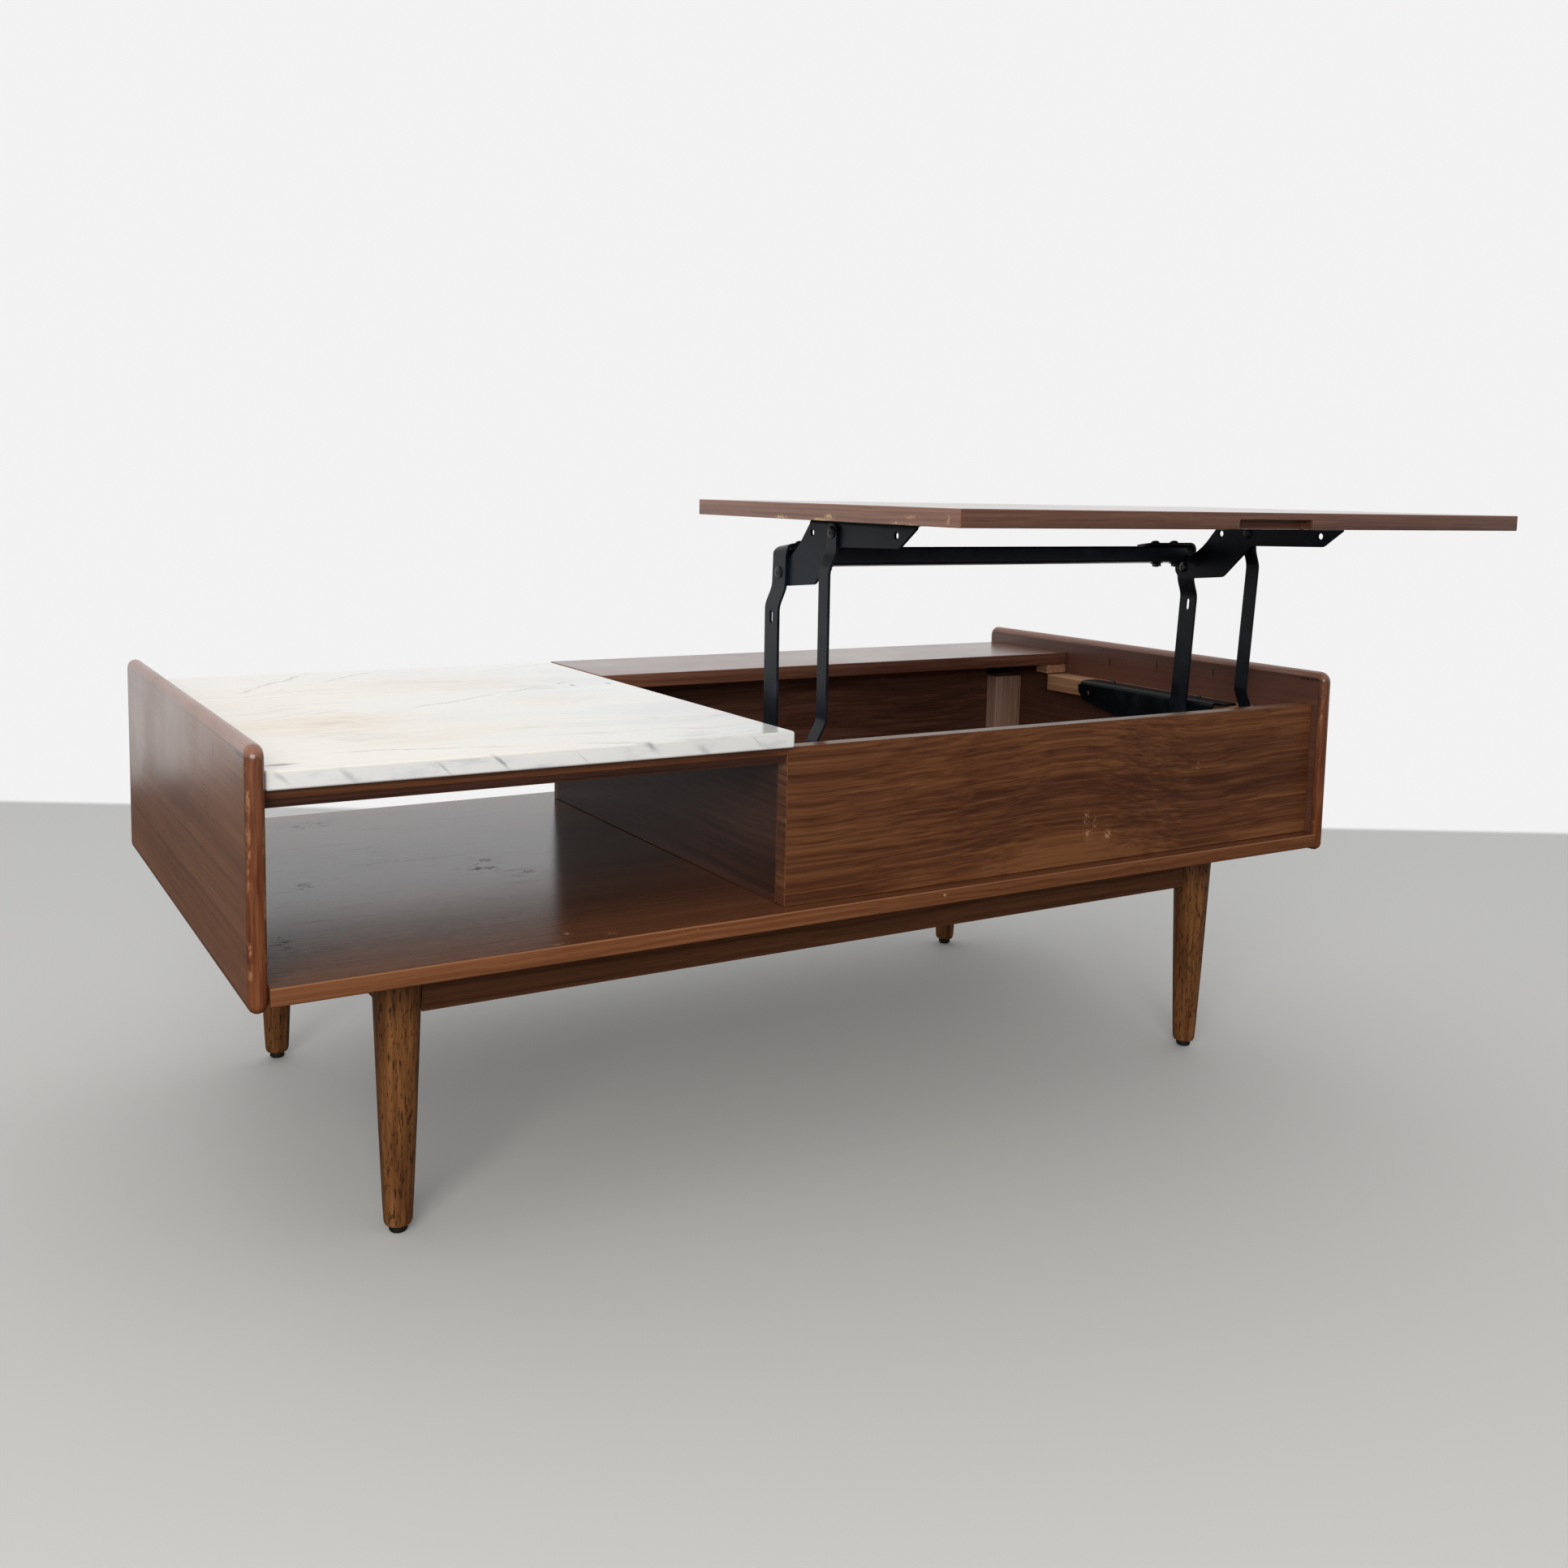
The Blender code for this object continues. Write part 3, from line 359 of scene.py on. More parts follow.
def lift_material():
    """Lift top: very glossy, with knocked corners along the lower edge of its left end."""
    node = "lift_panel"
    look = {"rough": 0.12, "level": 0.6, "band": LIFT_BAND, "chips": 0.70}
    paint, colour, fibre, roughness = flat_wood("walnut_" + node, node, 0, WALNUT_LIFT, 9.1, **look)
    low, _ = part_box(node)
    left = low[0]
    chips = (
        ((left, -0.2147, 0.6212), (0.01, 0.0110, 0.0014), CHIP, 1.5),
        ((left, -0.2300, 0.6245), (0.01, 0.0060, 0.0020), CHIP, 1.0),
        ((left, -0.3303, 0.6205), (0.01, 0.0045, 0.0022), CHIP, 1.6),
        ((left, -0.3500, 0.6205), (0.01, 0.0080, 0.0010), CHIP, 1.3),
        ((left, -0.3993, 0.6268), (0.01, 0.0018, 0.0036), (180, 140, 100), 1.3),
        ((left, -0.3479, 0.6273), (0.01, 0.010, 0.0014), (176, 130, 96), 1.2),
        ((left, -0.1500, 0.6222), (0.01, 0.008, 0.0014), CHIP, 1.4),
    )
    colour = marked(paint, colour, chips, (330, 330, 330), 0.47)
    return paint.finish(colour, roughness, fibre, 0.08, 0.0003)


def end_panel_material(node):
    """Veneered side with a solid rounded edge and a lacquer sheen that is worn off lower down. Its edge band
    has a painted reflection along the top and painted highlights with wear on its front shoulders, and the
    left panel is lighter as painted light.
    """
    paint = Paint("walnut_" + node)
    # The left end takes lighter tones than the right: painted light from the window on its left.
    tones = WALNUT_END_LEFT_LIT if node.endswith("left") else WALNUT_END_RIGHT
    colour, fibre = stained(paint, 1, tones, 3.7, wave=0.006, contrast=(0.32, 0.50, 0.68), pore=0.22)
    low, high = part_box(node)
    axes = paint.split(paint.object)
    rim = paint.math("SUBTRACT", axes[1], low[1])
    for other in (
        paint.math("SUBTRACT", high[1], axes[1]),
        paint.math("SUBTRACT", axes[2], low[2]),
        paint.math("SUBTRACT", high[2], axes[2]),
    ):
        rim = paint.math("MINIMUM", rim, other)
    streaks = paint.noise(paint.place(paint.object, (420, 22, 22)), 1.0, 3.0, 0.55)
    band = paint.ramp(streaks, (0.30, srgb(*LIPPING[0])), (0.5, srgb(*LIPPING[1])), (0.70, srgb(*LIPPING[2])))
    from_left = paint.math("SUBTRACT", axes[0], low[0])
    from_right = paint.math("SUBTRACT", high[0], axes[0])
    side = paint.math("MINIMUM", from_left, from_right)
    ragged = paint.noise(paint.place(paint.object, (120, 60, 45)), 1.0, 4.0, 0.75)
    upright = paint.step(axes[1], low[1] + 0.010, low[1] + 0.006)
    # Lighter shoulders of the rounded front edge: wear and painted highlight.
    wear_and_highlight = paint.math("MULTIPLY", bell(paint, side, 0.0016, 0.0013), paint.step(ragged, 0.50, 0.66))
    wear_and_highlight = paint.math("MULTIPLY", wear_and_highlight, paint.scaled(upright, 0.12, 0.75))
    band = paint.mix(wear_and_highlight, band, srgb(190, 138, 98))
    # Painted reflection: a pinkish sheen along the top of the edge band.
    aloft = paint.step(axes[2], high[2] - 0.012, high[2] - 0.004)
    band = paint.mix(paint.math("MULTIPLY", aloft, 0.35), band, srgb(176, 132, 114))
    colour = paint.mix(paint.step(rim, 0.0078, 0.0072), colour, band)
    seam = bell(paint, rim, 0.0077, 0.0004)
    colour = paint.mix(paint.math("MULTIPLY", seam, 0.6), colour, srgb(52, 30, 22))
    scored = [(0.2568, 0.4099), (0.1588, 0.4237), (0.0721, 0.4286)]
    scored += [(-0.024, 0.4322), (-0.0652, 0.4251), (0.020, 0.402)]
    marks = [((low[0], y, z), (0.03, 0.0012, 0.0060), (48, 30, 28), 1.6) for y, z in scored]
    marks.append(((low[0], -0.172, 0.4392), (0.03, 0.016, 0.0012), (44, 26, 22), 1.6))
    colour = marked(paint, colour, marks, (90, 300, 120), 0.42)
    sheen = paint.ramp(paint.step(axes[2], low[2] + 0.02, high[2]), (0.0, 0.05), (0.45, 0.16), (1.0, 0.60))
    paint.put(paint.shader.inputs["Specular IOR Level"], sheen)
    return paint.finish(colour, scuffed(paint, 0.26), fibre, 0.10, 0.0003)


def vein(paint, start, end, width, seed):
    """A thin broken line in the marble between two points, in 0..1."""
    dx, dy = end[0] - start[0], end[1] - start[1]
    length = math.hypot(dx, dy)
    wander = paint.noise(paint.place(paint.object, (22.0,) * 3, (seed, 0, 0)), 1.0, 4.0, 0.6)
    axes = paint.split(paint.object)
    x, y = paint.math("SUBTRACT", axes[0], start[0]), paint.math("SUBTRACT", axes[1], start[1])
    along = paint.math("MULTIPLY_ADD", x, dx / length, paint.math("MULTIPLY", y, dy / length))
    across = paint.math("MULTIPLY_ADD", x, -dy / length, paint.math("MULTIPLY", y, dx / length))
    across = paint.math("MULTIPLY_ADD", wander, 0.024, paint.math("SUBTRACT", across, 0.012))
    line = bell(paint, across, 0.0, width)
    begun, ended = paint.step(along, -0.01, 0.02), paint.step(along, length + 0.01, length - 0.03)
    inside = paint.math("MULTIPLY", begun, ended)
    breaks = paint.noise(paint.place(paint.object, (34.0,) * 3, (0, seed, 0)), 1.0, 3.0, 0.6)
    broken = paint.step(breaks, 0.34, 0.52)
    return paint.math("MULTIPLY", paint.math("MULTIPLY", line, inside), broken)


MARBLE_WARM = ((240, 237, 230), (246, 241, 232), (243, 232, 214))
MARBLE_COOL = ((227, 231, 230), (240, 241, 238), (246, 244, 239))
MARBLE_EDGE = ((222, 227, 231), (245, 247, 247), (252, 253, 252))


def marble_material():
    """Polished marble, warm at the left and cool at the right, with beige clouds and thin dark veins."""
    paint = Paint("marble_polished")
    low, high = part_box("marble_top")
    top, front = high[2], low[1]
    axes = paint.split(paint.object)
    warp = paint.noise(paint.place(paint.object, (4.0,) * 3), 1.0, 4.0, 0.6)
    drift = paint.join(paint.math("MULTIPLY", warp, 0.20), paint.math("MULTIPLY", warp, 0.12), 0.0)
    bent = paint.vector("ADD", paint.object, drift)
    clouds = paint.noise(paint.place(bent, (4.0, 13.0, 9.0), (3, 1, 0), (0, 0, 0.25)), 1.0, 5.0, 0.62)
    shares = (0.34, 0.50, 0.66)
    warm = paint.ramp(clouds, *zip(shares, (srgb(*tone) for tone in MARBLE_WARM)))
    cool = paint.ramp(clouds, *zip(shares, (srgb(*tone) for tone in MARBLE_COOL)))
    base = paint.mix(paint.step(axes[0], -0.50, -0.20), warm, cool)
    grainy = paint.noise(paint.place(bent, (30.0, 80.0, 50.0), (2, 5, 0), (0, 0, 0.3)), 1.0, 4.0, 0.65)
    rough = paint.ramp(grainy, (0.35, 0.25), (0.6, 1.0))
    for place, radii, strength in (
        ((-0.498, 0.022), (0.080, 0.055), 0.85),
        ((-0.327, 0.260), (0.110, 0.050), 0.50),
        ((-0.283, 0.213), (0.060, 0.030), 0.45),
        ((-0.246, 0.090), (0.055, 0.030), 0.50),
        ((-0.455, -0.091), (0.055, 0.022), 0.45),
        ((-0.540, 0.170), (0.060, 0.050), 0.35),
        ((-0.380, -0.060), (0.070, 0.030), 0.25),
    ):
        glow = paint.math("MULTIPLY", spot(paint, (*place, top), (*radii, 1.0)), rough)
        base = paint.mix(paint.math("MULTIPLY", glow, strength), base, srgb(230, 204, 166))
    faint = paint.noise(paint.place(bent, (2.0, 15.0, 8.0), (8, 2, 0), (0, 0, 0.42)), 1.0, 3.0, 0.55)
    gate = paint.step(paint.noise(paint.place(paint.object, (7.0,) * 3), 1.0, 2.0), 0.44, 0.60)
    thread = paint.math("MULTIPLY", bell(paint, faint, 0.5, 0.012), gate)
    base = paint.mix(paint.math("MULTIPLY", thread, 0.30), base, srgb(158, 151, 145))
    for start, end, width, share, seed in (
        ((-0.5275, 0.2512), (-0.4115, 0.4010), 0.0024, 0.80, 1.0),
        ((-0.4202, 0.3117), (-0.3317, 0.3947), 0.0022, 0.75, 2.0),
        ((-0.3900, 0.0890), (-0.1668, 0.2183), 0.0022, 0.85, 3.0),
        ((-0.2425, 0.3270), (-0.1250, 0.3860), 0.0022, 0.50, 7.0),
        ((-0.5219, -0.1237), (-0.3788, -0.1536), 0.0018, 0.85, 4.0),
        ((-0.3500, -0.1540), (-0.2700, -0.1840), 0.0022, 0.90, 5.0),
        ((-0.2245, -0.1690), (-0.1360, -0.1594), 0.0016, 0.60, 8.0),
        ((-0.5800, 0.0500), (-0.4700, 0.1100), 0.0016, 0.35, 9.0),
    ):
        mask = paint.math("MULTIPLY", vein(paint, start, end, width * 0.8, seed), share * 0.72)
        base = paint.mix(mask, base, srgb(112, 103, 98))
    side = paint.step(axes[2], top - 0.0012, top - 0.0034)
    smoke = paint.noise(paint.place(paint.object, (20, 20, 60), turn=(0, 0.7, 0)), 1.0, 4.0, 0.65)
    edge = paint.ramp(smoke, *zip((0.30, 0.44, 0.66), (srgb(*tone) for tone in MARBLE_EDGE)))
    base = paint.mix(side, base, edge)
    wobble = paint.noise(paint.place(paint.object, (90.0,) * 3), 1.0, 3.0, 0.6)
    slant = paint.math("MULTIPLY_ADD", wobble, 0.006, paint.math("ADD", axes[0], axes[2]))
    facing = paint.step(axes[1], front + 0.006, front + 0.001)
    for x, z, width, share in (
        (-0.4050, 0.4205, 0.0017, 0.75),
        (-0.4519, 0.4178, 0.0013, 0.45),
        (-0.5293, 0.4190, 0.0030, 0.35),
        (-0.2680, 0.4240, 0.0034, 0.60),
        (-0.2142, 0.4155, 0.0036, 0.35),
        (-0.5820, 0.4215, 0.0020, 0.35),
        (-0.3300, 0.4170, 0.0010, 0.30),
        (-0.1600, 0.4200, 0.0012, 0.30),
    ):
        across = bell(paint, slant, x + z + 0.003, width)
        stroke = paint.math("MULTIPLY", across, bell(paint, axes[2], z, 0.0055))
        stroke = paint.math("MULTIPLY", paint.math("MULTIPLY", stroke, facing), share)
        base = paint.mix(stroke, base, srgb(128, 132, 142))
    smudges = (
        ((-0.5779, -0.1592, top), (0.0110, 0.004, 0.0100), (120, 108, 96), 1.4),
        ((-0.1818, 0.1855, top), (0.0016, 0.005, 0.0100), (104, 88, 82), 2.0),
        ((-0.1392, 0.1846, top), (0.0016, 0.005, 0.0100), (84, 74, 72), 2.0),
    )
    base = marked(paint, base, smudges, (60, 60, 60), 0.30)
    pits = paint.noise(paint.place(paint.object, (240.0,) * 3), 1.0, 2.0, 0.5)
    return paint.finish(base, paint.ramp(pits, (0.3, 0.11), (0.7, 0.19)), pits, 0.05)


def steel_black(name, level, tones=((10, 14, 21), (19, 26, 36), (44, 52, 64))):
    """Black paint on pressed steel, a little dusty."""
    paint = Paint(name, Specular_IOR_Level=level)
    peel = paint.noise(paint.place(paint.object, (700.0,) * 3), 1.0, 2.0, 0.5)
    dust = paint.noise(paint.place(paint.object, (30.0,) * 3), 1.0, 4.0, 0.65)
    dark, middle, light = (srgb(*tone) for tone in tones)
    colour = paint.ramp(dust, (0.35, dark), (0.58, middle), (0.78, light))
    return paint.finish(colour, paint.ramp(dust, (0.3, 0.28), (0.7, 0.44)), peel, 0.12, 0.0002)


def zinc():
    paint = Paint("steel_zinc_plated", Metallic=1.0)
    speck = paint.noise(paint.place(paint.object, (700.0,) * 3), 1.0, 3.0, 0.6)
    colour = paint.ramp(speck, (0.3, srgb(120, 120, 124)), (0.7, srgb(176, 176, 180)))
    return paint.finish(colour, paint.ramp(speck, (0.3, 0.25), (0.7, 0.45)), speck, 0.08, 0.0002)


def plastic():
    paint = Paint("plastic_black", Specular_IOR_Level=0.4)
    speck = paint.noise(paint.place(paint.object, (900.0,) * 3), 1.0, 2.0, 0.5)
    colour = paint.ramp(speck, (0.3, srgb(13, 12, 12)), (0.7, srgb(24, 23, 22)))
    return paint.finish(colour, paint.ramp(speck, (0.3, 0.45), (0.7, 0.60)), speck, 0.15, 0.0002)


def leg_material():
    """Turned hardwood, stained, with dark open pores down its length."""
    paint = Paint("leg_walnut_stain", Specular_IOR_Level=0.30)
    flow = paint.noise(paint.place(paint.object, (130, 130, 5)), 1.0, 4.0, 0.6)
    colour = paint.ramp(flow, (0.34, srgb(84, 50, 26)), (0.5, srgb(116, 74, 40)), (0.68, srgb(146, 98, 56)))
    flecks = paint.step(paint.noise(paint.place(paint.object, (520, 520, 90)), 1.0, 2.0, 0.6), 0.54, 0.64)
    colour = paint.mix(paint.math("MULTIPLY", flecks, 0.75), colour, srgb(40, 23, 14))
    return paint.finish(colour, paint.ramp(flow, (0.3, 0.30), (0.7, 0.42)), flecks, 0.15, 0.0003)


def raw_wood(name, along, tones, seed):
    paint = Paint(name, Specular_IOR_Level=0.25)
    colour, fibre = stained(paint, along, tones, seed, pore=0.2)
    return paint.finish(colour, scuffed(paint, 0.6), fibre, 0.2, 0.0003)


# ---------------------------------------------------------------- pieces


SAME_POINT = 2e-6
SAME_PLANE = math.radians(0.4)
SHARP = math.radians(32)


def soften(piece, width):
    edges = piece.modifiers.new("edges", "BEVEL")
    edges.width = width
    edges.segments = 2
    edges.limit_method = "ANGLE"
    edges.angle_limit = SHARP


def refined(node, material, bevel=0.0, sharp=SHARP):
    """A smooth, fine-edged copy of a CAD node, which stands for it."""
    shape = bmesh.new()
    shape.from_mesh(NODES[node].data)
    bmesh.ops.remove_doubles(shape, verts=shape.verts, dist=SAME_POINT)
    bmesh.ops.dissolve_limit(shape, angle_limit=SAME_PLANE, verts=shape.verts, edges=shape.edges)
    for face in shape.faces:
        face.smooth = True
    mesh = bpy.data.meshes.new(node + "_look")
    shape.to_mesh(mesh)
    shape.free()
    mesh.set_sharp_from_angle(angle=math.pi if bevel else sharp)
    piece = bpy.data.objects.new(node + "_look", mesh)
    bpy.context.scene.collection.objects.link(piece)
    mesh.materials.append(material)
    if bevel:
        soften(piece, bevel)
    even = piece.modifiers.new("even_normals", "WEIGHTED_NORMAL")
    even.keep_sharp = True
    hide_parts(node)
    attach(piece, BODY_OF[node])


def turned_piece(name, profile, material, steps=32):
    """A piece turned about its local Z from (radius, height) pairs, top to bottom."""
    shape = bmesh.new()
    rings = []
    for radius, height in profile:
        if radius == 0:
            rings.append([shape.verts.new((0, 0, height))])
            continue
        angles = [2 * math.pi * k / steps for k in range(steps)]
        rings.append([shape.verts.new((radius * math.cos(a), radius * math.sin(a), height)) for a in angles])
    for upper, lower in zip(rings, rings[1:]):
        for k in range(steps):
            corners = [upper[k - 1], upper[k]] if len(upper) > 1 else [upper[0]]
            corners += [lower[k], lower[k - 1]] if len(lower) > 1 else [lower[0]]
            shape.faces.new(corners)
    return loose_piece(name, shape, material)


def loose_piece(name, shape, material, sharp=math.radians(38)):
    bmesh.ops.recalc_face_normals(shape, faces=shape.faces)
    for face in shape.faces:
        face.smooth = True
    mesh = bpy.data.meshes.new(name)
    shape.to_mesh(mesh)
    shape.free()
    mesh.set_sharp_from_angle(angle=sharp)
    mesh.materials.append(material)
    piece = bpy.data.objects.new(name, mesh)
    bpy.context.scene.collection.objects.link(piece)
    return piece


def prism(sides, radius, low, high):
    """Upright prism between two heights."""
    shape = bmesh.new()
    rings = []
    for height in (low, high):
        angles = [2 * math.pi * (k + 0.5) / sides for k in range(sides)]
        rings.append([shape.verts.new((radius * math.cos(a), radius * math.sin(a), height)) for a in angles])
    for k in range(sides):
        shape.faces.new((rings[0][k - 1], rings[0][k], rings[1][k], rings[1][k - 1]))
    shape.faces.new(rings[0])
    shape.faces.new(rings[1])
    return shape


def aim(piece, place, axis):
    """Stands the piece's local Z along axis with its origin at place, and applies it to the mesh."""
    turn = Vector((0, 0, 1)).rotation_difference(Vector(axis)).to_matrix().to_4x4()
    piece.data.transform(Matrix.Translation(place) @ turn)
    return piece


def seat(piece, body, node=None):
    if node:
        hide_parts(node)
    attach(piece, body)


def axis_ends(node, axis):
    """Middle points of a node's two faces that lie furthest along an axis."""
    axis = Vector(axis)
    corners = [v.co.copy() for v in NODES[node].data.vertices]
    reach = [c.dot(axis) for c in corners]
    ends = []
    for limit in (min(reach), max(reach)):
        rim = [c for c, r in zip(corners, reach) if abs(r - limit) < 2e-5]
        ends.append(sum(rim, Vector()) / len(rim))
    return ends


BOLT_LEAN = math.radians(9)
BOLT_RADIUS = 0.0026
BOLT_HEAD_RADIUS = 0.0055
BOLT_HEAD_HIGH = 0.0035
NUT_RADIUS = 0.0054
NUT_LOW = 0.0006
NUT_HIGH = 0.0041
WASHER_THICK = 0.0008
WASHER_RADIUS = 0.0072


def build_bolts(paint):
    """Button-headed bolts with washers and hexagon nuts through the cross bar."""
    axis = Vector((0, math.sin(BOLT_LEAN), math.cos(BOLT_LEAN)))
    washer = [
        (BOLT_RADIUS, WASHER_THICK),
        (WASHER_RADIUS - 0.0004, WASHER_THICK),
        (WASHER_RADIUS, WASHER_THICK - 0.0003),
        (WASHER_RADIUS, 0),
        (BOLT_RADIUS, 0),
        (BOLT_RADIUS, WASHER_THICK),
    ]
    for node in [name for name in NODES if name.startswith("bar_bolt_")]:
        low, high = axis_ends(node, axis)
        span = (high - low).length
        body = BODY_OF[node]
        shank = [
            (0, span),
            (0.0022, span - 0.0001),
            (0.0041, span - 0.0008),
            (0.0052, span - 0.0020),
            (BOLT_HEAD_RADIUS, span - BOLT_HEAD_HIGH),
            (BOLT_RADIUS, span - BOLT_HEAD_HIGH),
            (BOLT_RADIUS, 0.0006),
            (BOLT_RADIUS - 0.0006, 0),
            (0, 0),
        ]
        bolt = turned_piece(node + "_bolt", shank, paint)
        seat(aim(bolt, low, axis), body, node)
        ring = turned_piece(node + "_washer_low", washer, paint)
        seat(aim(ring, low + axis * NUT_HIGH, axis), body)
        nut = loose_piece(node + "_nut", prism(6, NUT_RADIUS, NUT_LOW, NUT_HIGH), paint, math.radians(20))
        soften(nut, 0.0003)
        seat(aim(nut, low, axis), body)


RIVET_RADIUS = 0.0062
RIVET_NECK = 0.0040
RIVET_HEAD_HIGH = 0.0020
RIVET_DISH = 0.0006


def build_pins(paint):
    """Riveted pins with a dished head at both ends."""
    for node in [name for name in NODES if "_pin_" in name]:
        low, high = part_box(node)
        middle = (Vector(low) + Vector(high)) / 2
        half = (high[0] - low[0]) / 2
        upper = [
            (0, half - RIVET_DISH),
            (0.0012, half - RIVET_DISH),
            (0.0020, half),
            (0.0034, half - 0.0001),
            (0.0050, half - 0.0006),
            (0.0060, half - 0.0013),
            (RIVET_RADIUS, half - RIVET_HEAD_HIGH),
            (RIVET_NECK, half - RIVET_HEAD_HIGH),
        ]
        pin = turned_piece(node + "_rivet", upper + [(r, -h) for r, h in reversed(upper)], paint, 36)
        seat(aim(pin, middle, (1, 0, 0)), BODY_OF[node], node)


def screw(name, place, axis, radius, high, paint, body, slot, node=None):
    """Pan head screw whose head stands on place and points along axis."""
    profile = [
        (0, high - 0.0007),
        (radius * 0.14, high - 0.0007),
        (radius * 0.34, high - 0.0001),
        (radius * 0.62, high - 0.0002),
        (radius * 0.90, high * 0.62),
        (radius, high * 0.25),
        (radius, 0),
        (radius * 0.45, 0),
        (radius * 0.45, -0.002),
        (0, -0.002),
    ]
    piece = turned_piece(name, profile, paint, 28)
    seat(aim(piece, place, axis), body, node)


PLATE_SCREW = (0.0044, 0.0022)
BRACKET_SCREW = (0.0042, 0.0021)
BRACE_SCREW = (0.0036, 0.0018)
BRACKET_THICK = 0.0030
BRACE_THICK = 0.0025
DOWN, FORWARD, UPWARD = (0, 0, -1), (0, -1, 0), (0, 0, 1)


def build_screws(black, bright):
    for node in [name for name in NODES if name.startswith("plate_screw_")]:
        low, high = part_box(node)
        place = ((low[0] + high[0]) / 2, (low[1] + high[1]) / 2, high[2] - PLATE_SCREW[1])
        screw(node + "_head", place, UPWARD, *PLATE_SCREW, black, BODY_OF[node], SLOT_OF[node], node)
    for side in ("left", "right"):
        low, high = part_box("top_bracket_" + side)
        x = high[0] - 0.011 if side == "left" else low[0] + 0.011
        under = high[2] - BRACKET_THICK
        for end, y in (("front", low[1] + 0.030), ("rear", high[1] - 0.098)):
            name = "bracket_screw_%s_%s" % (side, end)
            screw(name, (x, y, under), DOWN, *BRACKET_SCREW, black, "lift_top", "black_steel")
    low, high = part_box("corner_brace")
    middle = (low[0] + high[0]) / 2
    on_back = (middle, high[1] - BRACE_THICK, low[2] + 0.0085)
    screw("brace_screw_back", on_back, FORWARD, *BRACE_SCREW, bright, "table", "black_steel")
    for label, x in (("left", middle - 0.011), ("right", middle + 0.011)):
        place = (x, low[1] + 0.012, high[2] - BRACE_THICK)
        screw("brace_screw_" + label, place, DOWN, *BRACE_SCREW, bright, "table", "black_steel")


def build_wood():
    paints = {
        "box_front": box_front_material(),
        "bottom_board": shelf_material(),
        "divider": board("walnut_divider", "divider", 1, WALNUT_DIVIDER, 8.0, level=0.16),
        "box_back": board("walnut_box_back", "box_back", 0, WALNUT_BACK, 5.0, level=0.25),
        "rear_strip": board("walnut_rear_strip", "rear_strip", 0, WALNUT_LIFT, 6.5, rough=0.22, level=0.6),
        "lift_panel": lift_material(),
        "packing_board": board("walnut_packing", "packing_board", 0, WALNUT, 7.7, level=0.3),
        # The sub-top board takes darker walnut as painted shade under the marble.
        "sub_top_board": board("walnut_sub_top", "sub_top_board", 0, WALNUT_SHADED, 1.3, level=0.3),
    }
    for side, along, seed in (("front", 0, 3.1), ("back", 0, 3.4), ("left", 1, 6.1), ("right", 1, 6.4)):
        rail = "rail_" + side
        paints[rail] = board("walnut_" + rail, rail, along, RAIL, seed, level=0.08, chips=0.7, band=RAIL)
    plain = ("divider", "box_back", "packing_board", "sub_top_board")
    for node, paint in paints.items():
        refined(node, paint, 0.0005 if node in plain or node.startswith("rail") else 0.0)
    for node in ("end_panel_left", "end_panel_right"):
        refined(node, end_panel_material(node), sharp=math.radians(60))
    leg = leg_material()
    post = raw_wood("pine_posts", 2, PINE_POST, 14.0)
    rough = raw_wood("pine_cleats", 1, PINE, 12.0)
    for node in NODES:
        if SLOT_OF[node] == "raw_wood":
            refined(node, post if node.startswith("corner_post") else rough)
        if SLOT_OF[node] == "leg_wood":
            refined(node, leg)


def build_metal():
    black = steel_black("steel_black_paint", 0.45)
    arms = steel_black("steel_black_arms", 0.24)
    bar = steel_black("steel_black_bar", 0.45, ((20, 28, 40), (32, 43, 58), (58, 70, 86)))
    plates = steel_black("steel_black_plates", 0.10, ((8, 10, 14), (13, 17, 22), (30, 35, 42)))
    brackets = steel_black("steel_black_brackets", 0.16, ((12, 18, 28), (22, 31, 44), (46, 57, 72)))
    by_start = {"base_plate": plates, "corner": plates, "top_bracket": brackets, "cross_bar": bar}
    by_start.update({"rear_arm": arms, "front_arm": arms})
    own = ("bar_bolt_", "plate_screw_")
    for node in NODES:
        if SLOT_OF[node] == "black_steel" and not node.startswith(own) and "_pin_" not in node:
            fitting = [paint for start, paint in by_start.items() if node.startswith(start)]
            refined(node, fitting[0] if fitting else black, 0.0004)
    rubber = plastic()
    for node in NODES:
        if SLOT_OF[node] == "black_plastic":
            refined(node, rubber, 0.0003)
    build_bolts(black)
    build_pins(black)
    build_screws(black, zinc())


# ---------------------------------------------------------------- stage


VIEW_YAW, VIEW_PITCH, VIEW_ROLL = 0.5371, 0.1070, 0.0205
VIEW_FROM = (-0.8426, -1.3362, 0.6485)
LENS = 34.42
LENS_SHIFT = (0.01305, -0.0862)

FLOOR_HALF = 9.0
FLOOR_END = 1.34
FLOOR_SEEN = (0.62, 0.62, 0.61, 1)
FLOOR_GIVEN_BACK = (0.10, 0.095, 0.09, 1)

FRONT_GLOW = 0.42
BACK_GLOW = 0.95
LEFT_GLOW = 0.60
TOP_GLOW = 0.75
WALL_SEEN = 0.89

KEY_POWER = 74.0
KEY_SIZE = (2.2, 1.5)
KEY_COLOUR = (1.0, 0.965, 0.92)
KEY_FROM = (-2.0, -2.7, 1.7)
KEY_TO = (0.1, 0, 0.35)


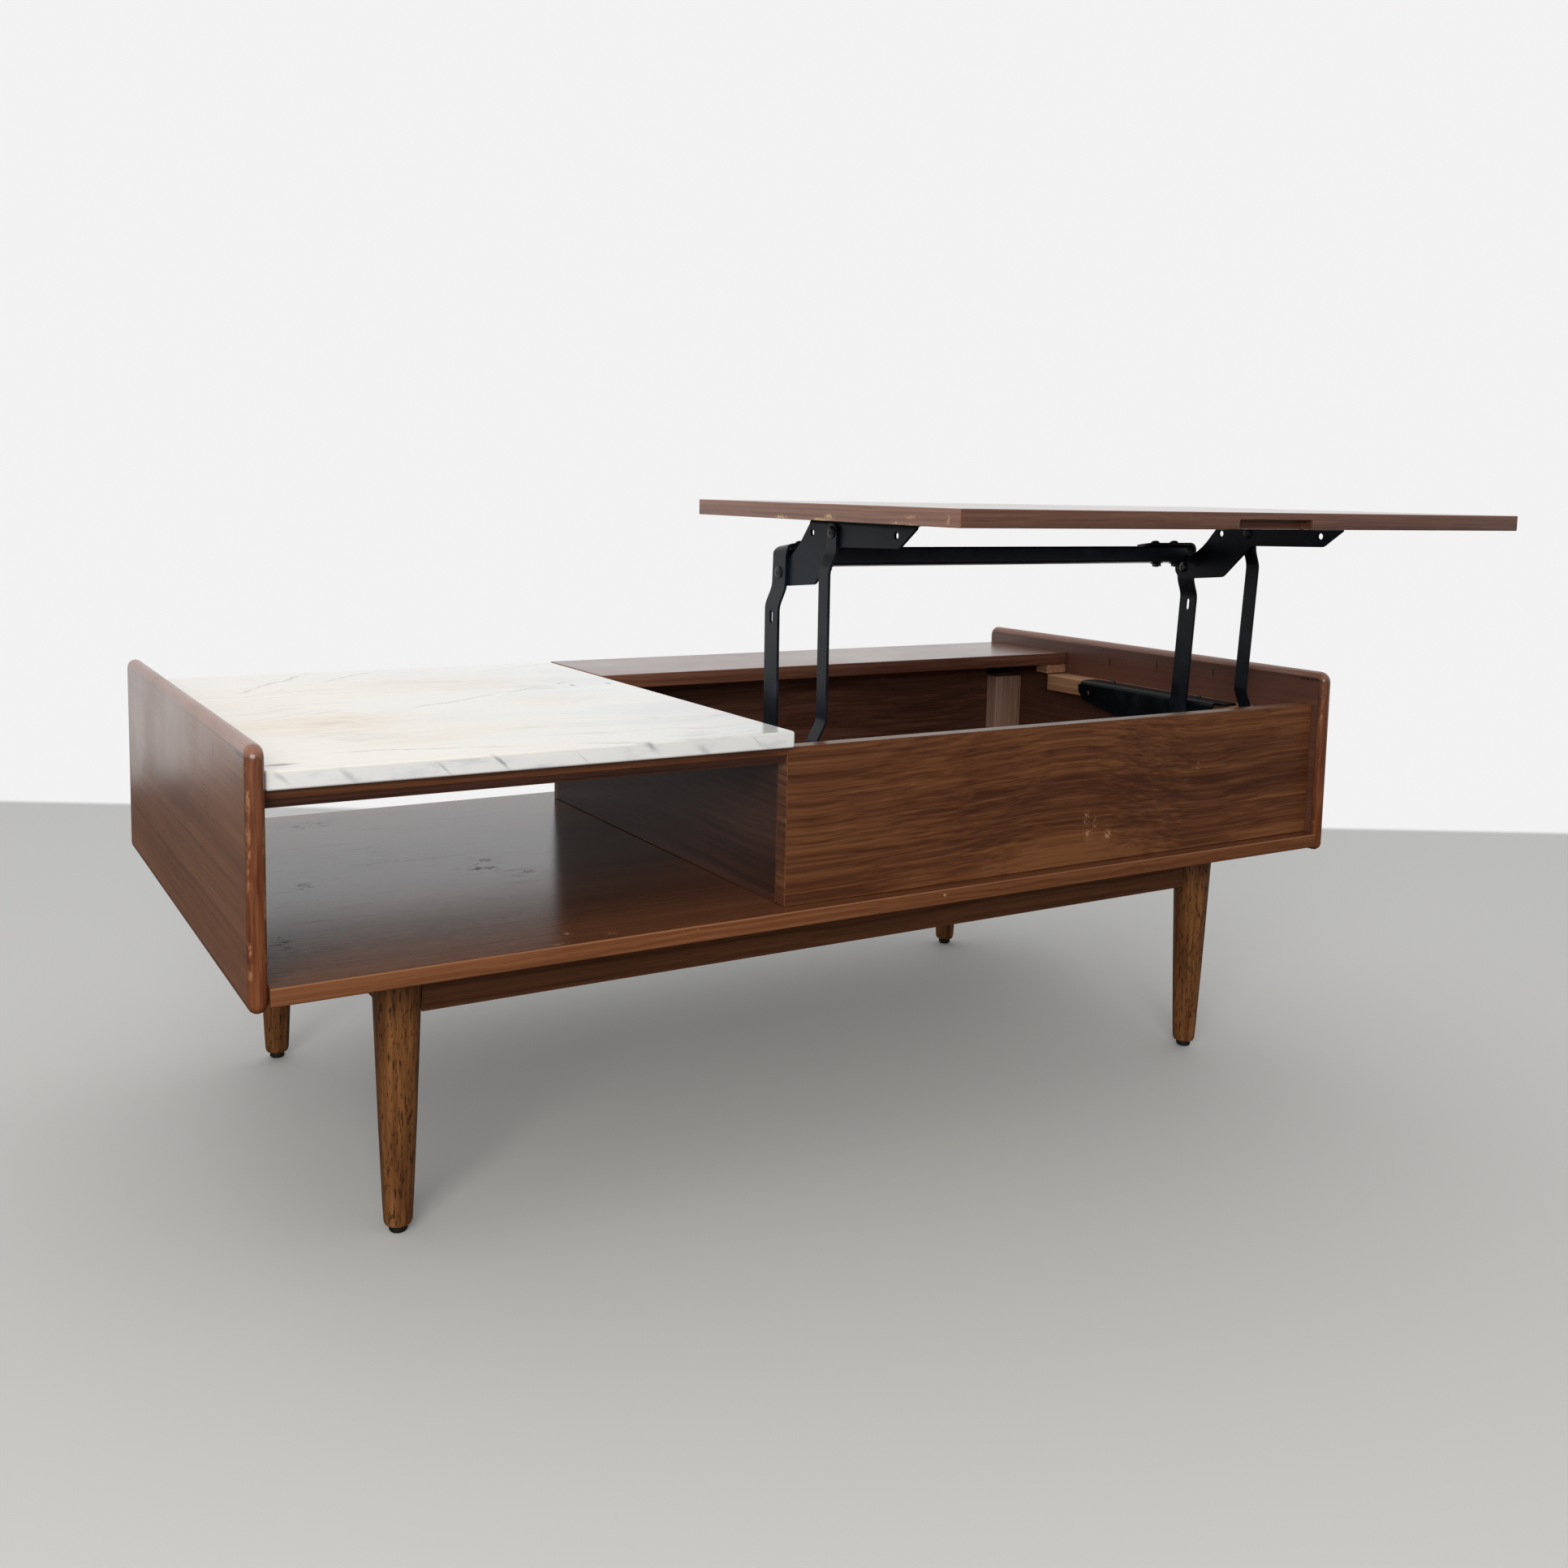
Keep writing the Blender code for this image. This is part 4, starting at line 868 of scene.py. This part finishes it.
def build_floor():
    """Pale floor that ends in a soft line behind the table."""
    ground = bmesh.new()
    bmesh.ops.create_grid(ground, x_segments=1, y_segments=1, size=FLOOR_HALF)
    mesh = bpy.data.meshes.new("floor")
    ground.to_mesh(mesh)
    ground.free()
    floor = bpy.data.objects.new("floor", mesh)
    bpy.context.scene.collection.objects.link(floor)
    paint = Paint("floor_pale", Roughness=0.7, Specular_IOR_Level=0.1)
    light = paint.nodes.new("ShaderNodeLightPath")
    # Seen straight on the floor is pale. What it gives back to the table is kept low, as from a dark room.
    shade = paint.mix(light.outputs["Is Camera Ray"], FLOOR_GIVEN_BACK, FLOOR_SEEN)
    paint.put(paint.shader.inputs["Base Color"], shade)
    axes = paint.split(paint.object)
    depth = paint.math("MULTIPLY", axes[1], math.cos(VIEW_YAW))
    back = paint.math("MULTIPLY_ADD", axes[0], math.sin(VIEW_YAW), depth)
    gone = paint.step(back, FLOOR_END - 0.02, FLOOR_END + 0.02)
    clear = paint.nodes.new("ShaderNodeBsdfTransparent")
    both = paint.nodes.new("ShaderNodeMixShader")
    paint.links.new(gone, both.inputs[0])
    paint.links.new(paint.shader.outputs[0], both.inputs[1])
    paint.links.new(clear.outputs[0], both.inputs[2])
    paint.links.new(both.outputs[0], paint.nodes["Material Output"].inputs[0])
    mesh.materials.append(paint.material)


def build_world():
    """A bright wall behind and a bright ceiling, with a dimmer room in front and on the right."""
    world = bpy.data.worlds.new("studio")
    bpy.context.scene.world = world
    world.use_nodes = True
    tree = world.node_tree

    def add(kind, *values):
        node = tree.nodes.new("ShaderNode" + kind)
        for socket, value in zip(node.inputs, values):
            if isinstance(value, bpy.types.NodeSocket):
                tree.links.new(value, socket)
            else:
                socket.default_value = value
        return node

    def operate(operation, a, b, c=0.0):
        node = add("Math", a, b, c)
        node.operation = operation
        return node.outputs[0]

    def ease(value, low, high, to_low, to_high):
        node = tree.nodes.new("ShaderNodeMapRange")
        node.interpolation_type = "SMOOTHSTEP"
        tree.links.new(value, node.inputs["Value"])
        for name, number in (("From Min", low), ("From Max", high), ("To Min", to_low), ("To Max", to_high)):
            node.inputs[name].default_value = number
        return node.outputs[0]

    axes = add("SeparateXYZ", add("TexCoord").outputs["Generated"]).outputs
    depth = operate("MULTIPLY", axes[1], math.cos(VIEW_YAW))
    back = operate("MULTIPLY_ADD", axes[0], math.sin(VIEW_YAW), depth)
    wall = ease(back, -0.15, 0.55, FRONT_GLOW, BACK_GLOW)
    window = ease(operate("MULTIPLY", axes[0], -1.0), 0.35, 0.95, 0.0, LEFT_GLOW)
    ceiling = ease(axes[2], 0.2, 0.95, 0.0, TOP_GLOW)
    glow = operate("MAXIMUM", operate("MAXIMUM", wall, window), ceiling)
    seen = add("LightPath").outputs["Is Camera Ray"]
    unseen = operate("MULTIPLY", operate("SUBTRACT", 1.0, seen), glow)
    level = operate("ADD", operate("MULTIPLY", seen, WALL_SEEN), unseen)
    shade = tree.nodes["Background"]
    shade.inputs["Color"].default_value = (1, 1, 1, 1)
    tree.links.new(level, shade.inputs["Strength"])


def build_key():
    """Large soft lamp at the front left."""
    lamp = bpy.data.lights.new("key", "AREA")
    lamp.shape = "RECTANGLE"
    lamp.size, lamp.size_y = KEY_SIZE
    lamp.energy = KEY_POWER
    lamp.color = KEY_COLOUR
    key = bpy.data.objects.new("key", lamp)
    bpy.context.scene.collection.objects.link(key)
    key.location = KEY_FROM
    key.rotation_euler = (Vector(KEY_TO) - key.location).to_track_quat("-Z", "Y").to_euler()


def build_camera():
    """Three-quarter view from the front left, a little above the top."""
    scene = bpy.context.scene
    data = bpy.data.cameras.new("camera")
    camera = bpy.data.objects.new("camera", data)
    scene.collection.objects.link(camera)
    flat = math.cos(VIEW_PITCH)
    ahead = Vector((math.sin(VIEW_YAW) * flat, math.cos(VIEW_YAW) * flat, -math.sin(VIEW_PITCH)))
    level = Vector((math.cos(VIEW_YAW), -math.sin(VIEW_YAW), 0))
    above = level.cross(ahead)
    right = math.cos(VIEW_ROLL) * level + math.sin(VIEW_ROLL) * above
    up = -math.sin(VIEW_ROLL) * level + math.cos(VIEW_ROLL) * above
    turn = Matrix((right, up, -ahead)).transposed().to_4x4()
    camera.matrix_world = Matrix.Translation(VIEW_FROM) @ turn
    data.sensor_width = 36.0
    data.lens = LENS
    data.shift_x, data.shift_y = LENS_SHIFT
    data.clip_start = 0.05
    data.clip_end = 60
    scene.camera = camera


build_wood()
refined("marble_top", marble_material())
build_metal()
build_floor()
build_world()
build_key()
build_camera()
bpy.context.scene.view_settings.view_transform = "Standard"
